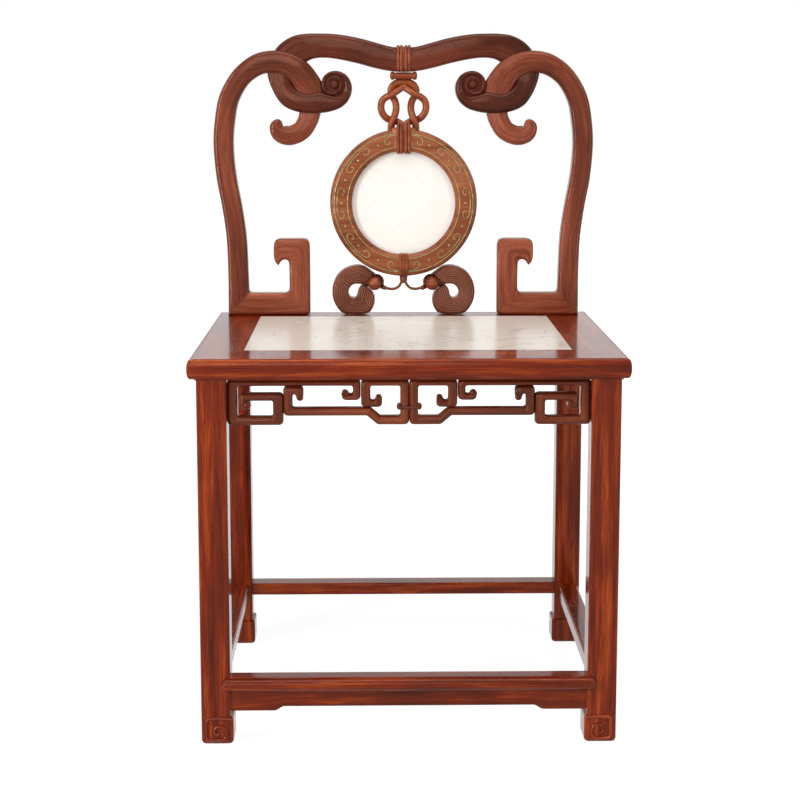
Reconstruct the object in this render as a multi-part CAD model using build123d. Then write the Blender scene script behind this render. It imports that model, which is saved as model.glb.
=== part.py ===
"""Hardwood side chair with a marble seat panel and a hanging marble plaque in its back.

Frame: millimetres, X across the chair (+X to the sitter's left), -Y to the front, +Z up.
The origin lies on the floor below the middle of the seat.
"""

from build123d import *
import os
from math import copysign

os.makedirs("parts", exist_ok=True)

# ---------------------------------------------------------------- seat
SEAT_HEIGHT = 504.0  # floor to the top of the seat
SEAT_WIDTH = 543.2  # across the upper arrises of the side rails
SEAT_DEPTH = 440.0  # across the upper arrises of the front and rear rails
NOSE_REACH = 6.4  # bullnose past the arris
NOSE_HEIGHT = 25.5  # thickness of the rails at the bullnose
LIP_HEIGHT = 2.0  # fine strip under the bullnose
LIP_SETBACK = 3.0  # strip back from the arris
SIDE_RAIL = 59.6  # arris to marble
FRONT_RAIL = 70.0
REAR_RAIL = 47.0
MARBLE_THICKNESS = 14.0
MARBLE_TONGUE = 8.0  # hidden tongue of the slab in its groove
TONGUE_THICKNESS = 6.0
PANEL_GAP = 0.3  # slack of the slab inside its groove
BATTEN_WIDTH = 44.0
BATTEN_THICKNESS = 11.0
BATTEN_SPREAD = 105.0  # middle of the seat to the middle of a batten
BATTEN_TENON = (30.0, 12.0, 5.0)  # width, length, thickness
BATTEN_SHOULDER = 1.5  # underside of a batten to its tenon
RAIL_TONGUE = 6.0  # thickness of the tongue across each mitre
RAIL_TONGUE_DEPTH = 16.0
RAIL_TONGUE_TOP = 5.0  # wood above the tongue
CUT_MARGIN = 1.0  # a cutting or joining shape runs this far past the wood

# ---------------------------------------------------------------- legs and feet
LEG = 38.0  # square section
LEG_INSET = 4.0  # leg face back from the seat's arris
LEG_ARRIS = 3.5  # rounding of the long edges
FOOT_HEIGHT = 36.6
FOOT_BULGE = 3.5  # foot block past the inner faces of its leg
FOOT_ROUND = 5.0
LEG_TENON = (18.0, 9.0, 13.0)  # along the end rail, across it, height
LEG_SIDE_TENON = 14.0  # length of the one into the side rail
LEG_TENON_INSET = 6.0  # outer leg face to the tenon
LEG_TENON_START = 2.0  # inner leg face to the tenon

# ---------------------------------------------------------------- stretchers
END_TENON = 18.0  # tenons of the front and rear stretchers
SIDE_TENON = 10.0  # and of the side ones, short of the others inside the leg
TENON_SHOULDER = 4.5  # wood left on each side of a tenon
FRONT_STRETCHER_TOP = 89.7
FRONT_STRETCHER_HEIGHT = 18.7
FRONT_STRETCHER_BACK = 19.0  # depth behind the front leg faces
FRONT_NOSE_REACH = 10.0  # half-round nose before the leg faces
FRONT_NOSE_LAP = 12.5  # pointed ends of the nose over the legs
SIDE_STRETCHER_TOP = 92.0
SIDE_STRETCHER_HEIGHT = 20.0
SIDE_STRETCHER_WIDTH = 28.0
SIDE_STRETCHER_INSET = 4.5  # back from the outer leg faces
REAR_STRETCHER_TOP = 92.0
REAR_STRETCHER_HEIGHT = 18.0
REAR_STRETCHER_WIDTH = 30.0
REAR_STRETCHER_INSET = 2.0
STRETCHER_SOFT = 3.0  # rounding of the long edges
STEP_APRON_DEPTH = 22.4  # apron under the front stretcher, at its middle
STEP_APRON_EAR = 5.8  # extra depth of its ends
STEP_APRON_EAR_LENGTH = 66.0
STEP_APRON_SWEEP = 10.0  # length of the S between the two depths
STEP_APRON_THICKNESS = 12.0
STEP_APRON_INSET = 4.0

# ---------------------------------------------------------------- scroll frets
FRONT_FRET_ROOM = 229.6  # middle line to leg that the front fret's lengths are drawn for
SIDE_FRET_ROOM = 178.0  # and the side frets'
FRET_STRAP = 10.8  # width of a fret strap
FRET_THICKNESS = 14.0
FRET_INSET = 6.0  # back from the outer leg faces
FRET_DROP = 59.2
FRET_SOFT = 2.5  # rounding of the strap's long edges
FRET_CORNER = 2.8  # rounding of the strap's outer corners
FRET_INNER_CORNER = 1.0  # and of its inner ones
FRET_LOOP = 63.7  # leg to the far upright of the end loop
FRET_LOOP_DROP = 17.7  # top strap to the top of the end loop
FRET_CURL = 21.0  # leg to the curl inside the end loop
FRET_CURL_DROP = 30.0
FRET_BAR_DROP = 36.6  # top strap to the long lower bar
FRET_SHOULDER = 17.0
FRET_SHOULDER_TIP = 9.6
FRET_MIDDLE_HOOK = 48.6  # middle line to the upright of the middle hook, past one strap
FRET_MIDDLE_DROP = 24.7
FRET_MIDDLE_CURL = (15.3, 9.9)
FRET_OUTER_DROP = 16.6
FRET_OUTER_CURL = (14.6, 9.4)
FRET_KNEE = 18.0  # length of the slanting knee of the lower bar
FRET_TIE = (4.8, 3.0)  # height and stand-out of the tie across the middle
FRET_TIE_SOFT = 2.5
FRET_TIE_DROP = 31.0
FRET_TONGUE = (5.0, 4.0, 24.0)  # thickness, depth, length of the tongues into leg and rail
REAR_APRON_DEPTH = 42.0
REAR_APRON_THICKNESS = 14.0

# ---------------------------------------------------------------- back, heights above the seat
BACK_ROOM = 543.2  # seat width that the back's curves are drawn for
CREST_GIVE = 76.5  # half of the crest's middle stretch, which gives when the seat is wider or narrower
BACK_SETBACK = 36.0  # rear arris of the seat to the front of the back
BACK_THICKNESS = 26.0
STRAP_SOFT = 7.5  # rounding of the ribbon straps, front
STRAP_SOFT_REAR = 5.0
LAP_SPLIT = 336.0  # the two ribbons change places at this height
HOOK_TENON = (22.0, 10.0, 14.0)
MITRE_TONGUE = (8.0, 16.0, 22.0)  # thickness, reach, length along the mitre
FOOT_BAR = 33.0
HOOK_INNER = 169.8
HOOK_OUTER = 138.5
HOOK_HEIGHT = 114.0
HOOK_TIP = 192.6
HOOK_CORNER = 8.5
HOOK_SOFT = 4.0  # rounding of the long edges of hook and foot bar
BEAK_BOTTOM = 75.0
BEAK_NOTCH = 83.5
BEAK_WIDTH = 10.4
BEAK_ROUND = 5.0
NOTCH_ROUND = 3.0
STILE_FOOT = (229.4, 260.7)  # inner and outer edge at the seat

# ---------------------------------------------------------------- plaque and carving
PLAQUE_CENTRE = 166.5
RING_RADIUS = 108.8
RING_BAND = 32.5  # outer edge to the window
RING_BEVEL = 5.7  # width of the bevel round the window
RING_BEVEL_DEPTH = 2.0  # marble to the bevel's foot
RING_BEAD = (3.0, 1.0)  # width and drop of the fillet outside the bevel
RING_DEPTH = 26.0
RING_FORWARD = 2.0  # ring before the face of the back
RING_SOFT = 5.0
RING_SOFT_REAR = 3.0
REAR_RING_DEPTH = 7.0
REAR_RING_WIDTH = 20.0
REAR_RING_BEVEL = 2.0
PLAQUE_THICKNESS = 8.0
PLAQUE_LAP = 7.0  # marble hidden behind the window's edge
CORD_WIDTH = 10.5  # one wrapped cord of a binding
CORD_PROUD = 3.0
CORD_WEB = 1.2  # carved ground between the cords
CORD_SOFT = 0.48  # rounding of a wrapped cord, as a share of what stands proud
CREST_BINDING_TOP = 397.0
UPPER_BINDING_RISE = 8.7  # binding above the ring
UPPER_BINDING_LAP = 4.5  # cords past the window's edge
LOWER_BINDING_WIDTH = 10.6
LOWER_BINDING_RIBS = 3
LOWER_BINDING_DROP = 1.7  # binding below the ring
LOWER_BINDING_LAP = 2.0
SPOOL_HALF_LENGTH = 20.0
SPOOL_HEIGHT = 9.6
SPOOL_DEPTH = 22.0
SPOOL_SOFT = 3.84
CREST_UNDERSIDE = 358.0
STRAND = 9.2  # knotted cord
STRAND_SIDES = 8
KNOT_ROOM = 73.1  # ring to spool that the knot's curves are drawn for
KNOT_MIDDLE = 28.7  # height of the crossing between the loops, above the ring
KNOT_TILT = 7.0  # each strand leans, so that it passes over, then under, the other
TASSEL_DEPTH = 18.0
TASSEL_SOFT = 4.0
BEAD_RADIUS = 11.0
BEAD_LENGTH = 17.6
BEAD_PLACE = (43.4, 47.0)
COLLAR_RADIUS = 6.5
COLLAR_REACH = 4.5
COLLAR_DROP = 4.5
CORD_ROUND = 4.6
CORD_SIDES = 6
CORD_END = (2.2, 4.2)  # cord's upper end from the middle line, and below the bulb's middle
BULB_RADIUS = 4.8
BULB_SOFT = 2.16
DOWEL = (8.0, 12.0)  # diameter and depth of the tassels' dowels
DOWEL_PLACE = 68.0  # middle of the chair to a dowel

# ---------------------------------------------------------------- derived places
HALF_WIDTH = SEAT_WIDTH / 2
HALF_DEPTH = SEAT_DEPTH / 2
SEAT_UNDERSIDE = SEAT_HEIGHT - NOSE_HEIGHT - LIP_HEIGHT
MARBLE_X = HALF_WIDTH - SIDE_RAIL
MARBLE_FRONT = FRONT_RAIL - HALF_DEPTH
MARBLE_REAR = HALF_DEPTH - REAR_RAIL
MARBLE_BOTTOM = SEAT_HEIGHT - MARBLE_THICKNESS
LEG_OUT_X = HALF_WIDTH - LEG_INSET
LEG_OUT_Y = HALF_DEPTH - LEG_INSET
LEG_IN_X = LEG_OUT_X - LEG
LEG_IN_Y = LEG_OUT_Y - LEG
BACK_FRONT = HALF_DEPTH - BACK_SETBACK
BACK_REAR = BACK_FRONT + BACK_THICKNESS
BACK_MIDDLE = (BACK_FRONT + BACK_REAR) / 2
BACK_SHIFT = (SEAT_WIDTH - BACK_ROOM) / 2
RING_WINDOW = RING_RADIUS - RING_BAND
RING_FRONT = BACK_FRONT - RING_FORWARD
RING_REAR = RING_FRONT + RING_DEPTH
RING_Z = SEAT_HEIGHT + PLAQUE_CENTRE
RING_TOP = PLAQUE_CENTRE + RING_RADIUS  # above the seat
BULB_Z = PLAQUE_CENTRE - RING_RADIUS - LOWER_BINDING_DROP - BULB_RADIUS  # above the seat
FRONT_STRETCHER_BOTTOM = FRONT_STRETCHER_TOP - FRONT_STRETCHER_HEIGHT


# ---------------------------------------------------------------- shared shapes
def block(x, y, z):
    """A rectangular block from three (low, high) spans."""
    middle = Pos(sum(x) / 2, sum(y) / 2, sum(z) / 2)
    return middle * Box(x[1] - x[0], y[1] - y[0], z[1] - z[0])


def upright_slab(face, front, rear):
    """A face drawn across the chair (x, z), made solid from depth front to depth rear."""
    sheet = Plane(origin=(0, rear, 0), x_dir=(1, 0, 0), z_dir=(0, -1, 0))
    return extrude(sheet * face, rear - front)


def outline(*curves):
    """A face inside curves that run end to end, closed by a straight line where they stop short."""
    closing = Line(curves[-1] @ 1, curves[0] @ 0)
    return make_face([*curves, closing])


def across_back(points):
    """Points of the back's drawing (x, height above the seat), moved out with the seat's edge."""
    return [(x + BACK_SHIFT * min(1, x / CREST_GIVE), z) for x, z in points]


def on_seat(solid, depth):
    """A solid drawn above the seat, moved up onto it and back by depth."""
    return Pos(0, depth, SEAT_HEIGHT) * solid


def edges_at(solid, depth):
    """Every edge that lies wholly in the plane Y = depth."""
    def lies_there(edge):
        box = edge.bounding_box()
        return abs(box.min.Y - depth) < 0.01 and abs(box.max.Y - depth) < 0.01

    return solid.edges().filter_by(lies_there)


def mirrored(solid):
    """The same piece on the other side of the chair."""
    return mirror(solid, about=Plane.YZ)


def pair(name, right):
    """Left and right nodes of a piece that is drawn on the +X side."""
    return {name + "_right": right, name + "_left": mirrored(right)}


# ---------------------------------------------------------------- seat
def rail_section(width):
    """Section of a seat rail: x outward from the marble's edge, y up from the floor."""
    lower = SEAT_HEIGHT - NOSE_HEIGHT
    nose = ThreePointArc(
        (width, SEAT_HEIGHT),
        (width + NOSE_REACH, SEAT_HEIGHT - NOSE_HEIGHT / 2),
        (width, lower),
    )
    rest = Polyline(
        (width, lower),
        (width - LIP_SETBACK, lower),
        (width - LIP_SETBACK, SEAT_UNDERSIDE),
        (0, SEAT_UNDERSIDE),
        (0, SEAT_HEIGHT),
        (width, SEAT_HEIGHT),
    )
    return make_face([nose, rest])


def mitred_rail(width, start, outward, inner_ends, arris_ends):
    """One rail of the seat frame: its section run past both corners, then cut to its mitres."""
    length = 2 * max(HALF_WIDTH, HALF_DEPTH) + 4 * NOSE_REACH
    run = Vector(*outward, 0).cross(Vector(0, 0, 1))
    plane = Plane(origin=Vector(*start, 0) - run * (length / 2), x_dir=(*outward, 0), z_dir=run)
    bar = extrude(plane * rail_section(width), length)
    past = 2 * NOSE_REACH
    first, last = [(x + copysign(past, x), y + copysign(past, y)) for x, y in arris_ends]
    wedge = Polyline(inner_ends[0], arris_ends[0], first, last, arris_ends[1], inner_ends[1], close=True)
    cutter = extrude(make_face(wedge), SEAT_HEIGHT - SEAT_UNDERSIDE + 2 * CUT_MARGIN)
    return bar & (Pos(0, 0, SEAT_UNDERSIDE - CUT_MARGIN) * cutter)


def seat_frame():
    """Four mitred rails, the marble slab in its groove and the two battens below it."""
    inner = {
        "fl": (-MARBLE_X, MARBLE_FRONT),
        "fr": (MARBLE_X, MARBLE_FRONT),
        "rl": (-MARBLE_X, MARBLE_REAR),
        "rr": (MARBLE_X, MARBLE_REAR),
    }
    arris = {
        "fl": (-HALF_WIDTH, -HALF_DEPTH),
        "fr": (HALF_WIDTH, -HALF_DEPTH),
        "rl": (-HALF_WIDTH, HALF_DEPTH),
        "rr": (HALF_WIDTH, HALF_DEPTH),
    }
    plan = {
        "front": (FRONT_RAIL, (0, MARBLE_FRONT), (0, -1), "fl", "fr"),
        "rear": (REAR_RAIL, (0, MARBLE_REAR), (0, 1), "rl", "rr"),
        "left": (SIDE_RAIL, (-MARBLE_X, 0), (-1, 0), "fl", "rl"),
        "right": (SIDE_RAIL, (MARBLE_X, 0), (1, 0), "fr", "rr"),
    }
    rails = {
        side: mitred_rail(width, start, outward, (inner[a], inner[b]), (arris[a], arris[b]))
        for side, (width, start, outward, a, b) in plan.items()
    }
    tongue_z = (SEAT_HEIGHT - RAIL_TONGUE_TOP - RAIL_TONGUE, SEAT_HEIGHT - RAIL_TONGUE_TOP)
    for corner, (x, y) in arris.items():
        end = "front" if y < 0 else "rear"
        side = "left" if x < 0 else "right"
        middle_x = (x + inner[corner][0]) / 2
        middle_y = (y + inner[corner][1]) / 2
        tongue = Pos(middle_x, middle_y, sum(tongue_z) / 2) * Box(
            2 * RAIL_TONGUE_DEPTH, RAIL_TONGUE_DEPTH, RAIL_TONGUE
        )
        rails[side] -= tongue
        rails[end] += tongue - rails[side]

    slab = block((-MARBLE_X, MARBLE_X), (MARBLE_FRONT, MARBLE_REAR), (MARBLE_BOTTOM, SEAT_HEIGHT))
    tongue = block(
        (-MARBLE_X - MARBLE_TONGUE, MARBLE_X + MARBLE_TONGUE),
        (MARBLE_FRONT - MARBLE_TONGUE, MARBLE_REAR + MARBLE_TONGUE),
        (MARBLE_BOTTOM, MARBLE_BOTTOM + TONGUE_THICKNESS),
    )
    reach = MARBLE_TONGUE + PANEL_GAP
    groove = block(
        (-MARBLE_X - reach, MARBLE_X + reach),
        (MARBLE_FRONT - reach, MARBLE_REAR + reach),
        (MARBLE_BOTTOM, MARBLE_BOTTOM + TONGUE_THICKNESS),
    )
    width, length, thickness = BATTEN_TENON
    batten_z = (MARBLE_BOTTOM - BATTEN_THICKNESS, MARBLE_BOTTOM)
    tenon_low = MARBLE_BOTTOM - BATTEN_THICKNESS + BATTEN_SHOULDER
    batten_x = (BATTEN_SPREAD - BATTEN_WIDTH / 2, BATTEN_SPREAD + BATTEN_WIDTH / 2)
    body = block(batten_x, (MARBLE_FRONT, MARBLE_REAR), batten_z)
    tenon = block(
        (BATTEN_SPREAD - width / 2, BATTEN_SPREAD + width / 2),
        (MARBLE_FRONT - length, MARBLE_REAR + length),
        (tenon_low, tenon_low + thickness),
    )
    batten = body + tenon
    battens = pair("seat_batten", batten)
    for side in rails:
        rails[side] -= groove
    for end in ("front", "rear"):
        for piece in battens.values():
            rails[end] -= piece
    nodes = {"seat_rail_" + side: rail for side, rail in rails.items()}
    nodes["seat_marble"] = slab + tongue
    nodes.update(battens)
    return nodes


# ---------------------------------------------------------------- legs
def leg(front):
    """A right-hand leg: square shaft, inward block foot and two tenons into the mitred corner."""
    sign = -1 if front else 1
    y_out = sign * LEG_OUT_Y
    y_in = sign * LEG_IN_Y
    y_span = (min(y_out, y_in), max(y_out, y_in))
    shaft = block((LEG_IN_X, LEG_OUT_X), y_span, (0, SEAT_UNDERSIDE))
    shaft = fillet(shaft.edges().filter_by(Axis.Z), LEG_ARRIS)
    foot_y = (y_in - sign * FOOT_BULGE, y_out)
    foot = block((LEG_IN_X - FOOT_BULGE, LEG_OUT_X), (min(foot_y), max(foot_y)), (0, FOOT_HEIGHT))
    foot = fillet(foot.edges().filter_by(Axis.Z), LEG_ARRIS)
    foot = chamfer(foot.faces().sort_by(Axis.Z)[-1].edges(), FOOT_BULGE / 2)
    inner = foot.faces().sort_by(Axis.Z)[0].edges().filter_by(
        lambda edge: edge.center().X < LEG_IN_X or abs(edge.center().Y) < LEG_IN_Y
    )
    foot = fillet(inner, FOOT_ROUND)
    return shaft + foot


def leg_tenons(front):
    """The two tenons of a right-hand leg, one for each rail that meets above it."""
    sign = -1 if front else 1
    along, across, height = LEG_TENON
    z = (SEAT_UNDERSIDE, SEAT_UNDERSIDE + height)
    start_x = LEG_IN_X + LEG_TENON_START
    start_y = LEG_IN_Y + LEG_TENON_START
    out_x = LEG_OUT_X - LEG_TENON_INSET
    out_y = LEG_OUT_Y - LEG_TENON_INSET
    end_y = (sign * out_y, sign * (out_y - across))
    side_y = (sign * start_y, sign * (start_y + LEG_SIDE_TENON))
    into_end = block((start_x, start_x + along), (min(end_y), max(end_y)), z)
    into_side = block((out_x - across, out_x), (min(side_y), max(side_y)), z)
    return into_end, into_side


# ---------------------------------------------------------------- stretchers
def stretcher(x, y, z, along, tenon):
    """A softened bar between two legs, with a centred tenon past each end."""
    bar = block(x, y, z)
    bar = fillet(bar.edges().filter_by(along), STRETCHER_SOFT)
    past_x, past_y = (tenon, -TENON_SHOULDER) if along == Axis.X else (-TENON_SHOULDER, tenon)
    return bar + block(
        (x[0] - past_x, x[1] + past_x),
        (y[0] - past_y, y[1] + past_y),
        (z[0] + TENON_SHOULDER, z[1] - TENON_SHOULDER),
    )


def front_stretcher():
    """The foot rail: a bar between the legs whose half-round nose laps over them to a point."""
    low, top = FRONT_STRETCHER_BOTTOM, FRONT_STRETCHER_TOP
    face_y = -LEG_OUT_Y
    x = (-LEG_IN_X, LEG_IN_X)
    bar = block(x, (face_y, face_y + FRONT_STRETCHER_BACK), (low, top))
    tenon = block(
        (x[0] - END_TENON, x[1] + END_TENON),
        (face_y + TENON_SHOULDER, face_y + FRONT_STRETCHER_BACK - TENON_SHOULDER),
        (low + TENON_SHOULDER, top - TENON_SHOULDER),
    )
    middle = (low + top) / 2
    tip = LEG_IN_X + FRONT_NOSE_LAP
    section = outline(ThreePointArc((face_y, low), (face_y - FRONT_NOSE_REACH, middle), (face_y, top)))
    nose = extrude(Plane(origin=(-tip, 0, 0), x_dir=(0, 1, 0), z_dir=(1, 0, 0)) * section, 2 * tip)
    shoulder = tip - FRONT_STRETCHER_HEIGHT / 2
    points = [(-tip, middle), (-shoulder, top), (shoulder, top), (tip, middle), (shoulder, low), (-shoulder, low)]
    pointed = upright_slab(make_face(Polyline(*points, close=True)), face_y - 2 * FRONT_NOSE_REACH, face_y)
    return bar + tenon + (nose & pointed)


def step_apron():
    """The low apron under the foot rail, deeper at its ends."""
    top = FRONT_STRETCHER_BOTTOM
    high = top - STEP_APRON_DEPTH
    low = high - STEP_APRON_EAR
    ear = LEG_IN_X - STEP_APRON_EAR_LENGTH
    turn = ear - STEP_APRON_SWEEP
    right = [(0, top), (LEG_IN_X, top), (LEG_IN_X, low), (ear, low), (turn, high), (0, high)]
    half = make_face(Polyline(*right, close=True))
    corners = half.vertices().filter_by(lambda v: turn - CUT_MARGIN < v.X < ear + CUT_MARGIN)
    half = fillet(corners, STEP_APRON_SWEEP / 2)
    front = -LEG_OUT_Y + STEP_APRON_INSET
    board = upright_slab(half, front, front + STEP_APRON_THICKNESS)
    return board + mirrored(board)


def stretchers():
    """The four stretchers near the floor and the apron of the front one."""
    rear_y = LEG_OUT_Y - REAR_STRETCHER_INSET
    side_x = LEG_OUT_X - SIDE_STRETCHER_INSET
    side = stretcher(
        (side_x - SIDE_STRETCHER_WIDTH, side_x),
        (-LEG_IN_Y, LEG_IN_Y),
        (SIDE_STRETCHER_TOP - SIDE_STRETCHER_HEIGHT, SIDE_STRETCHER_TOP),
        Axis.Y,
        SIDE_TENON,
    )
    nodes = pair("stretcher", side)
    nodes["stretcher_front"] = front_stretcher()
    nodes["stretcher_rear"] = stretcher(
        (-LEG_IN_X, LEG_IN_X),
        (rear_y - REAR_STRETCHER_WIDTH, rear_y),
        (REAR_STRETCHER_TOP - REAR_STRETCHER_HEIGHT, REAR_STRETCHER_TOP),
        Axis.X,
        END_TENON,
    )
    nodes["stretcher_apron"] = step_apron()
    return nodes


# ---------------------------------------------------------------- frets
def strap_side(path, reach):
    """The corners of a line that runs beside a path of straight runs, reach to its left."""
    runs = [(b - a).normalized() for a, b in zip(path, path[1:])]
    lefts = [Vector(-run.Y, run.X) for run in runs]
    corners = [path[0] + lefts[0] * reach]
    for place, before, after in zip(path[1:], lefts, lefts[1:]):
        corners.append(place + (before + after) * (reach / (1 + before.dot(after))))
    corners.append(path[-1] + lefts[-1] * reach)
    return corners


def rounded_corners(corners, convex, concave):
    """A face with straight sides, its outward corners rounded by convex and its inward ones by concave."""
    face = make_face(Polyline(*corners, close=True))
    before = [corners[-1], *corners[:-1]]
    after = [*corners[1:], corners[0]]
    turns = [(here - a).cross(b - here).Z for a, here, b in zip(before, corners, after)]
    winding = sum(a.cross(b).Z for a, b in zip(corners, after))
    for radius, sign in ((convex, 1), (concave, -1)):
        chosen = [here for here, turn in zip(corners, turns) if turn * winding * sign > 0]
        found = [v for v in face.vertices() if any((Vector(v) - here).length < 0.001 for here in chosen)]
        face = fillet(found, radius)
    return face


def fret_strap(path, stretch):
    """A strap of even width along a path of straight runs, with softened turns, stretched lengthwise."""
    path = [Vector(*point) for point in path]
    there = strap_side(path, FRET_STRAP / 2)
    back = strap_side(path, -FRET_STRAP / 2)
    corners = [Vector(corner.X * stretch, corner.Y) for corner in (*there, *reversed(back))]
    return rounded_corners(corners, FRET_CORNER, FRET_INNER_CORNER)


def fret_paths(half, hooked):
    """Middle lines of the two straps of the right half, drawn for a fret that is 2 * half long.

    A hooked fret is long enough for the outer strap to end in a hook beside the middle one.
    """
    width = FRET_STRAP
    top = SEAT_UNDERSIDE - width / 2
    foot = SEAT_UNDERSIDE - FRET_DROP + width / 2
    leg_x = half - width / 2
    loop_x = half - FRET_LOOP
    loop_z = top - FRET_LOOP_DROP
    curl_x = half - FRET_CURL
    hook_x = FRET_MIDDLE_HOOK + width / 2
    turn_x = hook_x + width
    outer_z = top - FRET_OUTER_DROP
    hook = [
        (turn_x + FRET_OUTER_CURL[0], outer_z + FRET_OUTER_CURL[1]),
        (turn_x + FRET_OUTER_CURL[0], outer_z),
        (turn_x, outer_z),
        (turn_x, top),
    ]
    outer = [
        *(hook if hooked else [(turn_x - width / 2, top)]),
        (leg_x, top),
        (leg_x, foot),
        (loop_x, foot),
        (loop_x, loop_z),
        (curl_x, loop_z),
        (curl_x, top - FRET_CURL_DROP),
    ]
    side_x = loop_x - width
    shoulder_z = top - width
    bar_z = top - FRET_BAR_DROP
    middle_z = top - FRET_MIDDLE_DROP
    inner = [
        (side_x - FRET_SHOULDER, shoulder_z - FRET_SHOULDER_TIP),
        (side_x - FRET_SHOULDER, shoulder_z),
        (side_x, shoulder_z),
        (side_x, bar_z),
        (hook_x, bar_z),
        (hook_x - FRET_KNEE, foot),
        (width / 2, foot),
        (width / 2, top),
        (hook_x, top),
        (hook_x, middle_z),
        (hook_x - FRET_MIDDLE_CURL[0], middle_z),
        (hook_x - FRET_MIDDLE_CURL[0], middle_z + FRET_MIDDLE_CURL[1]),
    ]
    return outer, inner


def soft_strap(path, stretch):
    """A fret strap as a solid from Y = 0 back, its long edges rounded front and rear."""
    strap = upright_slab(fret_strap(path, stretch), 0, FRET_THICKNESS)
    strap = fillet(edges_at(strap, 0), FRET_SOFT)
    return chamfer(edges_at(strap, FRET_THICKNESS), FRET_SOFT / 2)


def fret(half, room, hooked):
    """One fret in the XZ plane: two straps to each side of the middle and the tie across it.

    The straps are drawn for a half length of room, and stretched to the half length there is.
    """
    outer_path, inner_path = fret_paths(room, hooked)
    stretch = half / room
    thickness, depth, length = FRET_TONGUE
    tongue_y = (FRET_THICKNESS - thickness) / 2
    y = (tongue_y, tongue_y + thickness)
    middle_z = SEAT_UNDERSIDE - FRET_DROP / 2
    rail_z = (SEAT_UNDERSIDE - CUT_MARGIN, SEAT_UNDERSIDE + depth)
    leg_tongue = block((half - CUT_MARGIN, half + depth), y, (middle_z - length / 2, middle_z + length / 2))
    rail_x = (room - FRET_LOOP) * stretch - length
    rail_tongue = block((rail_x, rail_x + length), y, rail_z)
    inner_x = FRET_STRAP * stretch
    inner_tongue = block((inner_x, inner_x + length), y, rail_z)
    outer = soft_strap(outer_path, stretch) + leg_tongue + rail_tongue
    inner = soft_strap(inner_path, stretch) + inner_tongue
    height, proud = FRET_TIE
    reach = inner_x + proud
    tie_z = SEAT_UNDERSIDE - FRET_STRAP / 2 - FRET_TIE_DROP
    tie = block((-reach, reach), (-proud, FRET_THICKNESS + proud), (tie_z - height / 2, tie_z + height / 2))
    tie = fillet(tie.edges().filter_by(Axis.Z), FRET_TIE_SOFT)
    pieces = {"outer_right": outer, "inner_right": inner}
    pieces["outer_left"] = mirrored(outer)
    pieces["inner_left"] = mirrored(inner)
    pieces["tie"] = tie - pieces["inner_right"] - pieces["inner_left"]
    return pieces


def frets():
    """The front fret and the two side frets, each back from the outer faces of its legs."""
    nodes = {}
    for name, piece in fret(LEG_IN_X, FRONT_FRET_ROOM, True).items():
        nodes["front_fret_" + name] = Pos(0, -LEG_OUT_Y + FRET_INSET, 0) * piece
    for name, piece in fret(LEG_IN_Y, SIDE_FRET_ROOM, False).items():
        for side, turn, x in (("right", 90, 1), ("left", -90, -1)):
            strap, _, half = name.partition("_")
            if half:
                ends = ("rear", "front") if side == "right" else ("front", "rear")
                label = strap + "_" + (ends[0] if half == "right" else ends[1])
            else:
                label = strap
            place = Pos(x * (LEG_OUT_X - FRET_INSET), 0, 0) * Rot(0, 0, turn)
            nodes[side + "_fret_" + label] = place * piece
    rear = LEG_OUT_Y - FRET_INSET
    nodes["rear_apron"] = block(
        (-LEG_IN_X, LEG_IN_X),
        (rear - REAR_APRON_THICKNESS, rear),
        (SEAT_UNDERSIDE - REAR_APRON_DEPTH, SEAT_UNDERSIDE),
    )
    return nodes


# ---------------------------------------------------------------- ribbon back
def stile_face():
    """Right-hand ribbon stile: up from the seat, over the crest ribbon and down to its curled end."""
    outer = Spline(
        (STILE_FOOT[1], 0),
        (260.0, 77.8),
        (264.2, 137.9),
        (274.7, 198.0),
        (280.0, 258.1),
        (269.4, 318.2),
        (245.0, 363.2),
        (190.0, 388.0),
        (140.0, 375.0),
        (122.0, 349.0),
        (119.5, 324.0),
        (122.3, 298.2),
        (129.5, 274.2),
        (144.5, 256.1),
        (169.0, 249.7),
        (189.6, 259.1),
        (194.5, 274.2),
        (189.6, 286.9),
        (179.1, 288.4),
    )
    inner = Spline(
        (179.1, 288.4),
        (173.1, 280.2),
        (165.6, 279.4),
        (159.5, 283.2),
        (153.5, 299.0),
        (153.4, 314.0),
        (161.0, 335.8),
        (180.0, 354.0),
        (213.9, 348.2),
        (237.2, 318.2),
        (250.0, 258.1),
        (244.5, 198.0),
        (233.9, 137.9),
        (229.5, 77.8),
        (STILE_FOOT[0], FOOT_BAR),
    )
    return outline(outer, inner)


def crest_face():
    """Right half of the crest ribbon: from the middle out, down behind the stile and up into its volute."""
    edge = Spline(
        *across_back(
            [
                (0.0, 392.0),
                (34.9, 398.9),
                (94.9, 412.4),
                (143.0, 413.1),
                (174.6, 402.6),
                (195.0, 379.0),
                (199.4, 355.3),
                (188.1, 323.7),
                (167.1, 303.5),
                (132.5, 298.2),
                (94.9, 304.2),
                (76.5, 326.8),
                (82.9, 352.3),
                (99.5, 359.5),
                (113.0, 355.5),
                (118.2, 343.0),
                (118.6, 335.0),
                (127.0, 326.0),
                (143.0, 324.5),
                (162.4, 335.2),
                (167.0, 352.0),
                (150.0, 369.5),
                (117.5, 378.3),
                (57.4, 367.6),
                (0.0, CREST_UNDERSIDE),
            ]
        ),
        tangents=[(1, 0), (-1, 0)],
    )
    return outline(edge)


def soften_ribbon(ribbon):
    """Round a ribbon's long edges, more at the front than at the rear."""
    front = edges_at(ribbon, 0).filter_by(lambda edge: abs(edge.center().X) > CUT_MARGIN)
    ribbon = fillet(front, STRAP_SOFT)
    return fillet(edges_at(ribbon, BACK_THICKNESS), STRAP_SOFT_REAR)


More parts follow.
